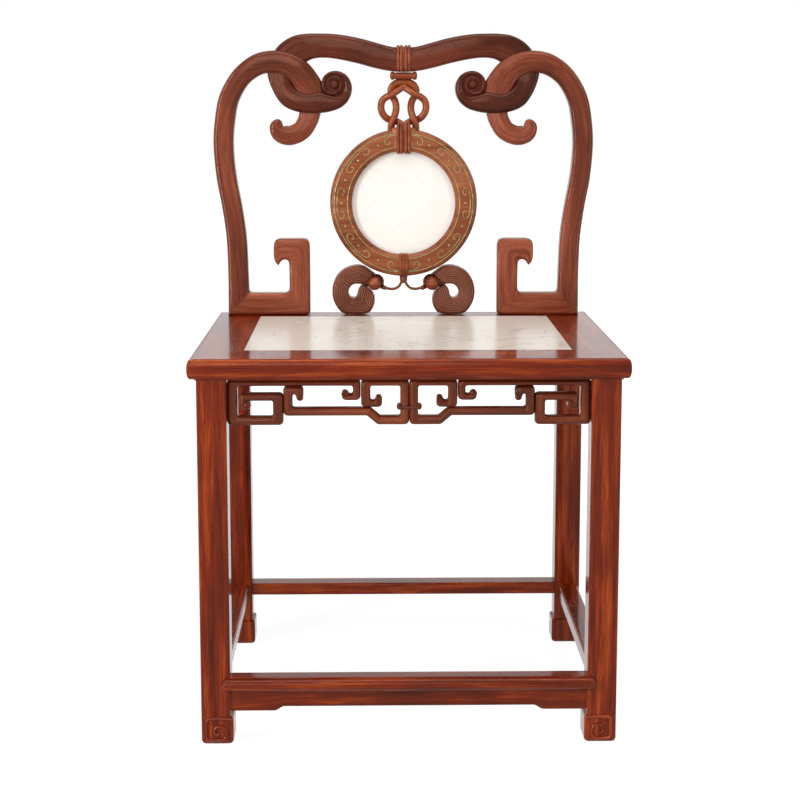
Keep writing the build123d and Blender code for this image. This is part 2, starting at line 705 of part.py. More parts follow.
def split_prism(face, upper, front):
    """The part of a ribbon's outline above or below the split, through the front or the rear half."""
    middle = BACK_THICKNESS / 2
    near, far = (-CUT_MARGIN, middle) if front else (middle, BACK_THICKNESS + CUT_MARGIN)
    span = (LAP_SPLIT, 2 * LAP_SPLIT) if upper else (0, LAP_SPLIT)
    return upright_slab(face, near, far) & block((0, SEAT_WIDTH), (near, far), span)


def mitre_tongue(inner, outer):
    """A tongue square to the mitre from inner to outer, both (x, height above the seat)."""
    thickness, reach, length = MITRE_TONGUE
    middle = ((inner[0] + outer[0]) / 2, BACK_THICKNESS / 2, (inner[1] + outer[1]) / 2)
    run = Vector(outer[0] - inner[0], 0, outer[1] - inner[1]).normalized()
    return Plane(origin=middle, x_dir=run, z_dir=(0, 1, 0)) * Box(length, reach, thickness)


def hook_face():
    """Right-hand hook: an upright whose head turns outward and down to a small beak."""
    corners = [
        (HOOK_OUTER, 0),
        (HOOK_OUTER, HOOK_HEIGHT),
        (HOOK_TIP, HOOK_HEIGHT),
        (HOOK_TIP, BEAK_BOTTOM),
        (HOOK_TIP - BEAK_WIDTH, BEAK_BOTTOM),
        (HOOK_TIP - BEAK_WIDTH, BEAK_NOTCH),
        (HOOK_INNER, BEAK_NOTCH),
        (HOOK_INNER, FOOT_BAR),
    ]
    face = make_face(Polyline(*across_back(corners), close=True))
    rounds = {HOOK_HEIGHT: HOOK_CORNER, BEAK_BOTTOM: BEAK_ROUND, BEAK_NOTCH: NOTCH_ROUND}
    for height, radius in rounds.items():
        face = fillet([v for v in face.vertices() if abs(v.Y - height) < 0.01], radius)
    return face


def ribbon_back():
    """Stiles, crest ribbon, foot bars and hooks of the back, drawn from Y = 0 back and set on the seat."""
    outward = Pos(BACK_SHIFT, 0, 0)
    stile = outward * soften_ribbon(upright_slab(stile_face(), 0, BACK_THICKNESS))
    half_crest = upright_slab(crest_face(), 0, BACK_THICKNESS)
    crest = soften_ribbon(half_crest + mirrored(half_crest))
    for upper, stile_in_front in ((True, True), (False, False)):
        stile -= split_prism(crest_face(), upper, not stile_in_front)
        lap = split_prism(outward * stile_face(), upper, stile_in_front)
        crest -= lap
        crest -= mirrored(lap)

    stile_low, stile_high, hook_high, hook_low = across_back(
        [(STILE_FOOT[1], 0), (STILE_FOOT[0], FOOT_BAR), (HOOK_INNER, FOOT_BAR), (HOOK_OUTER, 0)]
    )
    foot = make_face(Polyline(stile_low, stile_high, hook_high, hook_low, close=True))
    foot = upright_slab(foot, 0, BACK_THICKNESS)
    foot = fillet(edges_at(foot, 0).filter_by(Axis.X), HOOK_SOFT)
    hook = upright_slab(hook_face(), 0, BACK_THICKNESS)
    hook = fillet(edges_at(hook, 0), HOOK_SOFT)
    outer_tongue = mitre_tongue(stile_high, stile_low)
    inner_tongue = mitre_tongue(hook_high, hook_low)
    stile -= outer_tongue
    hook -= inner_tongue
    foot += outer_tongue + inner_tongue
    width, thickness, depth = HOOK_TENON
    middle = BACK_THICKNESS / 2
    for x in (hook_high[0], stile_high[0] - width):
        foot += block((x, x + width), (middle - thickness / 2, middle + thickness / 2), (-depth, 0))
    nodes = pair("back_stile", stile)
    nodes.update(pair("back_foot", foot))
    nodes.update(pair("back_hook", hook))
    nodes["crest_rail"] = crest
    return {name: on_seat(piece, BACK_FRONT) for name, piece in nodes.items()}


# ---------------------------------------------------------------- plaque
def turned_ring(points, rounds):
    """A ring about the plaque's axis from a section of (radius, depth) points, some corners rounded."""
    section = make_face(Polyline(*points, close=True))
    for corner, radius in rounds.items():
        found = [v for v in section.vertices() if (Vector(v) - Vector(*corner)).length < 0.01]
        section = fillet(found, radius)
    return Pos(0, 0, RING_Z) * revolve(section, Axis.Y)


def plaque():
    """The marble plaque between its moulded front ring and the plain rear ring that holds it."""
    marble_rear = RING_REAR - REAR_RING_DEPTH
    marble_front = marble_rear - PLAQUE_THICKNESS
    marble_radius = RING_WINDOW + PLAQUE_LAP
    seat_radius = RING_WINDOW + REAR_RING_WIDTH
    bevel_radius = RING_WINDOW + RING_BEVEL
    bead_width, bead_drop = RING_BEAD
    front_edge = (RING_RADIUS, RING_FRONT)
    rear_edge = (RING_RADIUS, RING_REAR)
    ring = turned_ring(
        [
            (RING_WINDOW, marble_front),
            (RING_WINDOW, marble_front - RING_BEVEL_DEPTH),
            (bevel_radius, RING_FRONT + bead_drop),
            (bevel_radius + bead_width, RING_FRONT),
            front_edge,
            rear_edge,
            (seat_radius, RING_REAR),
            (seat_radius, marble_rear),
            (marble_radius, marble_rear),
            (marble_radius, marble_front),
        ],
        {front_edge: RING_SOFT, rear_edge: RING_SOFT_REAR},
    )
    rear_ring = turned_ring(
        [
            (RING_WINDOW, marble_rear),
            (seat_radius, marble_rear),
            (seat_radius, RING_REAR),
            (RING_WINDOW + REAR_RING_BEVEL, RING_REAR),
            (RING_WINDOW, RING_REAR - REAR_RING_BEVEL),
        ],
        {},
    )
    slab = Rot(90, 0, 0) * Cylinder(marble_radius, PLAQUE_THICKNESS)
    marble = Pos(0, (marble_front + marble_rear) / 2, RING_Z) * slab
    return {"plaque_ring": ring, "plaque_rear_ring": rear_ring, "plaque_marble": marble}


def binding(cords, width, z, y):
    """Cords carved side by side round a bar, on a thin web that joins them."""
    web = block(
        (-width / 2 * cords, width / 2 * cords),
        (y[0] - CORD_WEB, y[1] + CORD_WEB),
        (z[0] + CORD_PROUD - CORD_WEB, z[1] - CORD_PROUD + CORD_WEB),
    )
    wrap = web
    for i in range(cords):
        low = (i - cords / 2) * width
        cord = block((low, low + width), (y[0] - CORD_PROUD, y[1] + CORD_PROUD), z)
        edges = cord.edges().filter_by(lambda edge: abs(edge.center().X - low - width / 2) > width / 2 - 0.01)
        wrap += fillet(edges, min(CORD_PROUD, width) * CORD_SOFT)
    return wrap


def swept(points, radii, thickness, sides, close=False):
    """A cord of many sides along points (x, z) whose corners are rounded by radii."""
    path = FilletPolyline(*[Vector(x, 0, z) for x, z in points], radius=radii, close=close)
    section = Plane(origin=path @ 0, z_dir=path % 0) * RegularPolygon(thickness / 2, sides)
    return sweep(section, path)


def knot():
    """Two knotted strands: a bow of two loops, and an arch that runs down through both of them.

    Both are drawn above the ring's top, and stretched with the room below the spool.
    """
    bow = [(0, 58.7), (11, 48.2), (29, 44.2), (37, 29.7), (29, 13.2), (13, 11.7), (0, 5.2)]
    bow_round = [5, 10, 11, 12, 10, 12, 5]
    arch = [(14, 68.7), (21.5, 54.7), (8.5, 37.7), (10.5, 21.7), (19.5, 8.7), (20.5, -13.3)]
    arch_round = [10, 8, 14, 14, 14]
    stretch = (CREST_UNDERSIDE - SPOOL_HEIGHT - RING_TOP) / KNOT_ROOM

    def strand(points, radii, tilt, close):
        drawn = [(x, (z - KNOT_MIDDLE) * stretch) for x, z in points]
        tube = swept(drawn, [radius * stretch for radius in radii], STRAND, STRAND_SIDES, close)
        return Pos(0, 0, RING_TOP + KNOT_MIDDLE * stretch) * Rot(tilt, 0, 0) * tube

    bow_left = [(-x, z) for x, z in reversed(bow[1:-1])]
    arch_left = [(-x, z) for x, z in reversed(arch)]
    loops = strand(bow + bow_left, bow_round + bow_round[-2:0:-1], KNOT_TILT, True)
    return on_seat(loops + strand(arch_left + arch, arch_round[::-1] + arch_round, -KNOT_TILT, False), BACK_MIDDLE)


def tassel():
    """Right-hand tassel: a curled, pierced body on the rear rail, with its bead and collar."""
    body = Spline(
        (91.2, 0.0),
        (100.9, 15.2),
        (106.5, 33.0),
        (102.0, 55.0),
        (88.0, 71.5),
        (68.0, 82.0),
        (53.0, 76.0),
        (46.0, 56.0),
        (43.2, 30.0),
        (44.5, 13.0),
        (51.4, 0.0),
    )
    hole = Spline((63.7, 45.4), (75.4, 46.0), (81.4, 35.2), (75.4, 25.0), (69.4, 32.0), periodic=True)
    half = TASSEL_DEPTH / 2
    curl = upright_slab(outline(body) - make_face(hole), -half, half)
    curl = fillet(edges_at(curl, -half).filter_by(GeomType.BSPLINE), TASSEL_SOFT)
    x, z = BEAD_PLACE
    bead = Pos(x, 0, z) * Rot(0, 90, 0) * Cylinder(BEAD_RADIUS, BEAD_LENGTH)
    bead = fillet(bead.edges(), BEAD_RADIUS / 2)
    collar_length = BEAD_LENGTH / 2 + COLLAR_REACH
    collar = Rot(0, 90, 0) * Cylinder(COLLAR_RADIUS, collar_length)
    collar = Pos(x - collar_length / 2, 0, z - COLLAR_DROP) * collar
    diameter, depth = DOWEL
    dowel = Pos(DOWEL_PLACE, 0, -depth / 2) * Cylinder(diameter / 2, depth)
    return on_seat(curl + bead + collar + dowel, BACK_MIDDLE)


def tassel_cord():
    """The thin cord from the plaque's lower binding to both tassels, with the bulb it hangs from."""
    start_x = BEAD_PLACE[0] - BEAD_LENGTH / 2 - COLLAR_REACH
    end_x, end_drop = CORD_END
    points = [(start_x, 40.5), (27.0, 40.0), (20.0, 37.5), (9.0, 38.5), (end_x, BULB_Z - end_drop)]
    right = swept(points, [6, 8, 8], CORD_ROUND, CORD_SIDES)
    bulb = Pos(0, 0, BULB_Z) * Cylinder(BULB_RADIUS, 2 * BULB_RADIUS)
    bulb = fillet(bulb.edges(), BULB_SOFT)
    return on_seat(right + mirrored(right) + bulb, BACK_MIDDLE)


def hanging_plaque(crest):
    """Everything that hangs in the middle of the back, from the crest binding to the tassels."""
    nodes = plaque()
    rings = list(nodes.values())
    spool_top = SEAT_HEIGHT + CREST_UNDERSIDE
    crest_z = (spool_top, SEAT_HEIGHT + CREST_BINDING_TOP)
    nodes["crest_binding"] = binding(2, CORD_WIDTH, crest_z, (BACK_FRONT, BACK_REAR)) - crest
    spool = block(
        (-SPOOL_HALF_LENGTH, SPOOL_HALF_LENGTH),
        (BACK_MIDDLE - SPOOL_DEPTH / 2, BACK_MIDDLE + SPOOL_DEPTH / 2),
        (spool_top - SPOOL_HEIGHT, spool_top),
    )
    nodes["knot_spool"] = fillet(spool.edges().filter_by(Axis.Y), SPOOL_SOFT) - crest
    ring_y = (RING_FRONT, RING_REAR)
    upper_z = (RING_Z + RING_WINDOW - UPPER_BINDING_LAP, RING_Z + RING_RADIUS + UPPER_BINDING_RISE)
    lower_z = (RING_Z - RING_RADIUS - LOWER_BINDING_DROP, RING_Z - RING_WINDOW + LOWER_BINDING_LAP)
    upper = binding(2, CORD_WIDTH, upper_z, ring_y)
    lower = binding(LOWER_BINDING_RIBS, LOWER_BINDING_WIDTH / LOWER_BINDING_RIBS, lower_z, ring_y)
    strands = knot()
    for piece in rings:
        upper -= piece
        lower -= piece
        strands -= piece
    nodes["plaque_binding_top"] = upper
    nodes["plaque_binding_bottom"] = lower
    nodes["hanging_knot"] = strands - nodes["knot_spool"] - upper
    nodes["tassel_cord"] = tassel_cord() - lower
    tassel_right = tassel() - nodes["plaque_ring"] - nodes["plaque_rear_ring"] - nodes["tassel_cord"]
    nodes.update(pair("tassel", tassel_right))
    return nodes


# ---------------------------------------------------------------- assembly
def chair():
    """Every piece of the chair, with the mortises that its tenons and tongues need."""
    nodes = seat_frame()
    nodes.update(stretchers())
    nodes.update(frets())
    nodes.update(ribbon_back())
    nodes.update(hanging_plaque(nodes["crest_rail"]))
    for row in ("front", "rear"):
        shaft = leg(row == "front")
        tenons = leg_tenons(row == "front")
        for tenon in tenons:
            shaft += tenon
            for side in (row, "right"):
                nodes["seat_rail_" + side] -= tenon
            for side in (row, "left"):
                nodes["seat_rail_" + side] -= mirrored(tenon)
        nodes.update(pair("leg_" + row, shaft))
    tenoned = [name for name in nodes if name.startswith("stretcher") or "fret_outer" in name]
    for name in tenoned:
        for row in ("front", "rear"):
            for side in ("left", "right"):
                nodes[f"leg_{row}_{side}"] -= nodes[name]
    for name in [name for name in nodes if "_fret_" in name]:
        for side in ("front", "left", "right"):
            nodes["seat_rail_" + side] -= nodes[name]
    for name in ("back_foot_left", "back_foot_right", "tassel_left", "tassel_right"):
        nodes["seat_rail_rear"] -= nodes[name]
    return nodes


for node_name, node_solid in chair().items():
    export_step(node_solid, os.path.join("parts", node_name + ".step"))
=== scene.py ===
"""Looks of a hardwood side chair: ribbon back, hanging plaque, scroll frets, marble seat.

Sizes are in millimetres, heights above the floor unless a name says otherwise, -Y to the front.
"""

import logging
import math
import random
from dataclasses import dataclass
from enum import Enum
from typing import Callable, Iterable, Sequence, Union

import bmesh
import bpy
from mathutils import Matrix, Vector


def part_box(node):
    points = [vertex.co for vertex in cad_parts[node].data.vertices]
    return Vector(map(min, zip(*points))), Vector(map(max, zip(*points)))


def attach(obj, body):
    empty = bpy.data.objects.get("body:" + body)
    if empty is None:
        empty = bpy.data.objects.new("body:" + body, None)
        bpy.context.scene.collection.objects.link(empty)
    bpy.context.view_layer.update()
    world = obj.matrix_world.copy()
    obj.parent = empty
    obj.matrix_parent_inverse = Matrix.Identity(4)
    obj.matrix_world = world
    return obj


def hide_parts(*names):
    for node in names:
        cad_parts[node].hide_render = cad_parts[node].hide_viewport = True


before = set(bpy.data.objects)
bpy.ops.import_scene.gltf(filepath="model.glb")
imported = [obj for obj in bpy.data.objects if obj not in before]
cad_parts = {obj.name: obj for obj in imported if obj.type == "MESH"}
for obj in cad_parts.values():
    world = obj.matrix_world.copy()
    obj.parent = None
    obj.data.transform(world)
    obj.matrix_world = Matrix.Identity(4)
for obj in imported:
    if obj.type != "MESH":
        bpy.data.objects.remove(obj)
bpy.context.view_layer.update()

MM = 0.001
FRONT = Vector((0.0, -1.0, 0.0))
ACROSS = Vector((1.0, 0.0, 0.0))
UP = Vector((0.0, 0.0, 1.0))
SIDES = (("right", 1.0), ("left", -1.0))
WHITE = (1.0, 1.0, 1.0, 1.0)
LOG = logging.getLogger("chair")

Flat = tuple[float, float]
Triple = tuple[float, float, float]
Profile = list[Flat]
Rows = list[tuple[float, ...]]
Value = Union[float, Sequence[float], "Signal"]
Stops = Sequence[tuple[float, Sequence[float]]]


def corners(node: str) -> tuple[Vector, Vector]:
    """Lowest and highest corner of a CAD node, in millimetres."""
    low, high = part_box(node)
    return low / MM, high / MM


SEAT_TOP = corners("seat_marble")[1].z
SEAT_UNDERSIDE = corners("seat_rail_front")[0].z
BACK_FRONT, BACK_REAR = (corner.y for corner in corners("back_hook_right"))
BACK_MIDDLE = (BACK_FRONT + BACK_REAR) / 2
RING_FRONT, RING_REAR = (corner.y for corner in corners("plaque_ring"))
RING_Z = sum(corner.z for corner in corners("plaque_ring")) / 2
LEG_WIDTH = 38.0
CORNER_STEPS = 4
DOME_STEPS = 4


# ---------------------------------------------------------------- shader maths
class Bench:
    """A material's node tree, with one method that lays out any node."""

    def __init__(self, tree: bpy.types.NodeTree) -> None:
        """Start from an empty tree."""
        self.tree = tree
        tree.nodes.clear()

    def node(self, kind: str, settings: dict | None = None, inputs: dict | None = None) -> bpy.types.Node:
        """Add a node, set it up and fill its sockets.

        Args:
            kind: Node type, such as ShaderNodeMath.
            settings: Properties to set first. The key "stops" fills a colour ramp.
            inputs: Socket name or index against a number, a colour, a vector or a signal.

        Returns:
            The new node.
        """
        made = self.tree.nodes.new(kind)
        for key, value in (settings or {}).items():
            if key == "stops":
                self._fill_ramp(made.color_ramp, value)
            else:
                setattr(made, key, value)
        for key, value in (inputs or {}).items():
            if isinstance(value, Signal):
                self.tree.links.new(value.socket, made.inputs[key])
            else:
                made.inputs[key].default_value = value
        return made

    def _fill_ramp(self, ramp: bpy.types.ColorRamp, stops: Stops) -> None:
        """Give a ramp its stops.

        Args:
            ramp: The ramp of a colour ramp node.
            stops: Place and colour of each stop, in order.
        """
        while len(ramp.elements) < len(stops):
            ramp.elements.new(1.0)
        for element, (place, colour) in zip(ramp.elements, stops):
            element.position = place
            element.color = (*colour, 1.0)

    def signal(
        self, kind: str, output: int | str, settings: dict | None = None, inputs: dict | None = None
    ) -> "Signal":
        """Add a node and take one of its outputs.

        Args:
            kind: Node type.
            output: Name or index of the output.
            settings: As in node.
            inputs: As in node.

        Returns:
            The output as a signal.
        """
        return Signal(self, self.node(kind, settings, inputs).outputs[output])

    def place(self) -> "Signal":
        """The place on the object, in metres."""
        return self.signal("ShaderNodeTexCoord", "Object")

    def noise(self, vector: "Signal", cells: float | Triple, detail: float, rough: float = 0.5) -> "Signal":
        """Soft noise between 0 and 1 over a vector.

        Args:
            vector: Where the noise is read.
            cells: Cells to a metre, alike all ways or for each part of the vector.
            detail: Octaves.
            rough: Strength of the finer octaves.

        Returns:
            The noise value.
        """
        if isinstance(cells, tuple):
            vector, cells = self.scaled(vector, cells), 1.0
        inputs = {"Vector": vector, "Scale": cells, "Detail": detail, "Roughness": rough}
        return self.signal("ShaderNodeTexNoise", "Fac", None, inputs)

    def scaled(self, vector: "Signal", factors: Sequence[float]) -> "Signal":
        """A vector multiplied part by part."""
        return self.signal("ShaderNodeVectorMath", 0, {"operation": "MULTIPLY"}, {0: vector, 1: factors})

    def moved(self, vector: "Signal", step: Value) -> "Signal":
        """A vector with another added to it."""
        return self.signal("ShaderNodeVectorMath", 0, {"operation": "ADD"}, {0: vector, 1: step})

    def mix(self, share: Value, first: Value, second: Value) -> "Signal":
        """Mix two colours.

        Args:
            share: Share of the second colour.
            first: Colour at share 0.
            second: Colour at share 1.

        Returns:
            The mixed colour.
        """
        first, second = (tone if isinstance(tone, Signal) else (*tone, 1.0) for tone in (first, second))
        return self.signal("ShaderNodeMix", 2, {"data_type": "RGBA"}, {0: share, 6: first, 7: second})

    def ramp(self, value: "Signal", stops: Stops) -> "Signal":
        """A colour that follows a value."""
        return self.signal("ShaderNodeValToRGB", 0, {"stops": stops}, {0: value})

    def seen(self) -> "Signal":
        """Tell what is looked at from what only lights the chair.

        Returns:
            1 for what the camera, reflections and glass show, 0 for light that falls on the chair.
        """
        rays = self.node("ShaderNodeLightPath").outputs
        names = ("Is Camera Ray", "Is Glossy Ray", "Is Transmission Ray")
        camera, glossy, through = (Signal(self, rays[name]) for name in names)
        return camera.larger(glossy).larger(through)

    def surface(self, inputs: dict, height: "Signal", relief: float) -> None:
        """Finish the tree with a Principled surface.

        Args:
            inputs: Sockets of the Principled node.
            height: Fine relief.
            relief: Depth of that relief, in metres.
        """
        bump = {"Strength": 1.0, "Distance": relief, "Height": height}
        inputs = {**inputs, "Normal": self.signal("ShaderNodeBump", 0, None, bump)}
        shader = self.signal("ShaderNodeBsdfPrincipled", 0, None, inputs)
        self.node("ShaderNodeOutputMaterial", None, {0: shader})


def arithmetic(operation: str, reflected: bool = False) -> Callable[["Signal", Value], "Signal"]:
    """An arithmetic method for Signal.

    Args:
        operation: The Math node's operation.
        reflected: Whether the other value comes first.

    Returns:
        The method.
    """

    def method(self: "Signal", other: Value) -> "Signal":
        """Add the Math node over the two values."""
        pair = (other, self) if reflected else (self, other)
        return self.bench.signal("ShaderNodeMath", 0, {"operation": operation}, dict(enumerate(pair)))

    return method


class Signal:
    """A shader socket that takes part in Python arithmetic."""

    __add__ = arithmetic("ADD")
    __radd__ = arithmetic("ADD", True)
    __sub__ = arithmetic("SUBTRACT")
    __rsub__ = arithmetic("SUBTRACT", True)
    __mul__ = arithmetic("MULTIPLY")
    __rmul__ = arithmetic("MULTIPLY", True)
    larger = arithmetic("MAXIMUM")

    def __init__(self, bench: Bench, socket: bpy.types.NodeSocket) -> None:
        """Wrap a socket of the bench's tree."""
        self.bench = bench
        self.socket = socket

    def __abs__(self) -> "Signal":
        """Size without sign."""
        return self.bench.signal("ShaderNodeMath", 0, {"operation": "ABSOLUTE"}, {0: self})

    def step(self, low: float, high: float) -> "Signal":
        """Smooth rise from 0 at low to 1 at high."""
        inputs = {"Value": self, "From Min": low, "From Max": high}
        return self.bench.signal("ShaderNodeMapRange", 0, {"interpolation_type": "SMOOTHSTEP"}, inputs)


# ---------------------------------------------------------------- finishes
class Grain(Enum):
    """Where a wood finish reads the run of its grain."""

    CARVED = "carved"
    ALONG_X = "x"
    ALONG_Y = "y"


@dataclass(frozen=True)
class Finish:
    """A finish of the chair or its ground."""

    name: str

    def title(self, _: Grain) -> str:
        """Name of the material."""
        return self.name

    def paint(self, bench: Bench, grain: Grain) -> None:
        """Lay out the finish, each kind in its own way."""
        raise NotImplementedError

    def material(self, grain: Grain) -> bpy.types.Material:
        """Make the finish.

        Args:
            grain: Run of the grain, which only matters to wood.

        Returns:
            The material.
        """
        made = bpy.data.materials.new(self.title(grain))
        made.use_nodes = True
        self.paint(Bench(made.node_tree), grain)
        return made


@dataclass(frozen=True)
class Hardwood(Finish):
    """Polished reddish hardwood with dark streaks and fine open pores."""

    dark: Triple
    middle: Triple
    light: Triple
    roughness: float = 0.11
    gloss: float = 0.34
    streaks: float = 1.0
    # Share of paler colour on arrises: partly wear, partly a painted highlight.
    worn_and_highlit_edges: float = 0.30
    # Share of painted shade that darkens the hollows.
    painted_hollow_shade: float = 0.75
    pore_depth: float = 0.00006
    sheen_tint: Triple = (1.0, 0.60, 0.44)
    drift_cells: Triple = (7.0, 7.0, 2.2)
    figure_cells: Triple = (120.0, 90.0, 5.0)
    fine_cells: Triple = (620.0, 620.0, 22.0)
    cloud_cells: Triple = (16.0, 16.0, 5.0)
    pore_cells: Triple = (2300.0, 2300.0, 130.0)
    wear_cells: Triple = (55.0, 55.0, 30.0)

    def title(self, grain: Grain) -> str:
        """Name of the material, which tells the grain too."""
        return f"{self.name}_{grain.value}"

    def _along(self, bench: Bench, grain: Grain) -> Signal:
        """A vector whose third part runs along the grain.

        Args:
            bench: The material's bench.
            grain: Where the grain comes from.

        Returns:
            The vector, in metres.
        """
        if grain is Grain.CARVED:
            return bench.signal("ShaderNodeAttribute", "Vector", {"attribute_name": "grain"})
        parts = bench.node("ShaderNodeSeparateXYZ", None, {0: bench.place()}).outputs
        order = (1, 2, 0) if grain is Grain.ALONG_X else (0, 2, 1)
        inputs = {i: Signal(bench, parts[part]) for i, part in enumerate(order)}
        return bench.signal("ShaderNodeCombineXYZ", 0, None, inputs)

    def _colour(self, bench: Bench, shade: Signal, pores: Signal) -> Signal:
        """The wood's colour: streaks, pores, arrises paler for wear and as painted highlight, painted shade in
        hollows.

        Args:
            bench: The material's bench.
            shade: Where the wood stands between its dark and its light tone.
            pores: 1 in a pore.

        Returns:
            The colour.
        """
        stops = [(0.24, self.dark), (0.52, self.middle), (0.80, self.light)]
        colour = bench.mix(pores * 0.5, bench.ramp(shade, stops), self.dark)
        edge = bench.signal("ShaderNodeNewGeometry", "Pointiness")
        # Arrises made paler: partly wear, partly a painted highlight.
        colour = bench.mix(edge.step(0.53, 0.64) * self.worn_and_highlit_edges, colour, self.light)
        # Hollows darkened: painted shade.
        hollow_shade = (1.0 - edge.step(0.36, 0.485)) * self.painted_hollow_shade
        return bench.mix(hollow_shade, colour, tuple(0.35 * part for part in self.dark))

    def paint(self, bench: Bench, grain: Grain) -> None:
        """Lay out grain that wanders a little, clouds, pores and uneven polish.

        Args:
            bench: The material's bench.
            grain: Where the grain comes from.
        """
        along = self._along(bench, grain)
        drift = bench.noise(along, self.drift_cells, 2.0)
        sway = bench.signal("ShaderNodeCombineXYZ", 0, None, {0: (drift - 0.5) * 0.02, 1: (drift - 0.5) * 0.016})
        wood = bench.moved(along, sway)
        figure = bench.noise(wood, self.figure_cells, 4.0, 0.55)
        fine = bench.noise(wood, self.fine_cells, 2.0, 0.6)
        cloud = bench.noise(along, self.cloud_cells, 3.0)
        pores = bench.noise(along, self.pore_cells, 1.0).step(0.60, 0.70)
        cloudy = 1.5 - 0.9 * self.streaks
        shade = (figure - 0.5) * self.streaks + (fine - 0.5) * 0.5 + (cloud - 0.5) * cloudy + 0.5
        colour = self._colour(bench, shade, pores)
        wear = bench.noise(along, self.wear_cells, 3.0)
        inputs = {
            "Base Color": colour,
            "Roughness": self.roughness + (wear - 0.5) * 0.12 + pores * 0.10,
            "IOR": 1.5,
            "Specular IOR Level": self.gloss,
            "Specular Tint": (*self.sheen_tint, 1.0),
        }
        bench.surface(inputs, fine * 0.5 - pores, self.pore_depth)


@dataclass(frozen=True)
class Marble(Finish):
    """Polished marble with faint clouds and a few thin veins."""

    ground: Triple
    cloud: Triple
    vein: Triple
    vein_strength: float
    roughness: float
    relief: float = 0.00001

    def paint(self, bench: Bench, _: Grain) -> None:
        """Lay out bent clouds, veins along their ridges, and fine grains.

        Args:
            bench: The material's bench.
        """
        place = bench.place()
        warp = bench.signal("ShaderNodeTexNoise", "Color", None, {"Vector": place, "Scale": 9.0, "Detail": 3.0})
        bent = bench.moved(place, bench.scaled(warp, (0.12, 0.12, 0.12)))
        clouds = bench.noise(bent, 7.0, 4.0, 0.55).step(0.38, 0.68)
        ridge = 1.0 - abs(bench.noise(bent, 11.0, 2.0) - 0.5) * 2.0
        veins = ridge.step(0.965, 1.0)
        grains = bench.noise(place, 900.0, 2.0)
        colour = bench.mix(clouds, self.ground, self.cloud)
        colour = bench.mix(veins * self.vein_strength, colour, self.vein)
        inputs = {
            "Base Color": bench.mix((grains - 0.5) * 0.10 + 0.05, colour, self.vein),
            "Roughness": self.roughness + clouds * 0.06,
            "Specular IOR Level": 0.4,
        }
        bench.surface(inputs, grains, self.relief)


@dataclass(frozen=True)
class Wire(Finish):
    """Thin brass wire, dulled to a greenish gold."""

    metal: Triple
    tarnish: Triple
    relief: float = 0.00002

    def paint(self, bench: Bench, _: Grain) -> None:
        """Lay out metal with dull spots.

        Args:
            bench: The material's bench.
        """
        dull = bench.noise(bench.place(), 160.0, 3.0).step(0.40, 0.62)
        inputs = {
            "Base Color": bench.mix(dull, self.metal, self.tarnish),
            "Metallic": 0.55 - dull * 0.35,
            "Roughness": 0.34 + dull * 0.20,
        }
        bench.surface(inputs, dull, self.relief)


@dataclass(frozen=True)
class PaleGround(Finish):
    """White studio floor that keeps a faint shadow near the chair and is plain white further off."""

    colour: Triple
    patch: Triple
    glow: float
    strength: float
    fade: Flat

    def paint(self, bench: Bench, _: Grain) -> None:
        """Lay out a matte floor under a glow that is seen but lights nothing.

        Args:
            bench: The material's bench.
        """
        seen, place = bench.seen(), bench.place()
        colour = bench.mix(bench.noise(place, 3.0, 2.0) * 0.05, self.colour, self.patch)
        matte = bench.signal("ShaderNodeBsdfDiffuse", 0, None, {"Color": colour})
        bright = bench.signal("ShaderNodeEmission", 0, None, {"Color": WHITE, "Strength": self.strength})
        distance = bench.signal("ShaderNodeVectorMath", "Value", {"operation": "LENGTH"}, {0: place})
        share = seen * (self.glow + distance.step(*self.fade) * (1.0 - self.glow))
        both = bench.signal("ShaderNodeMixShader", 0, None, {0: share, 1: matte, 2: bright})
        bench.node("ShaderNodeOutputMaterial", None, {0: both})


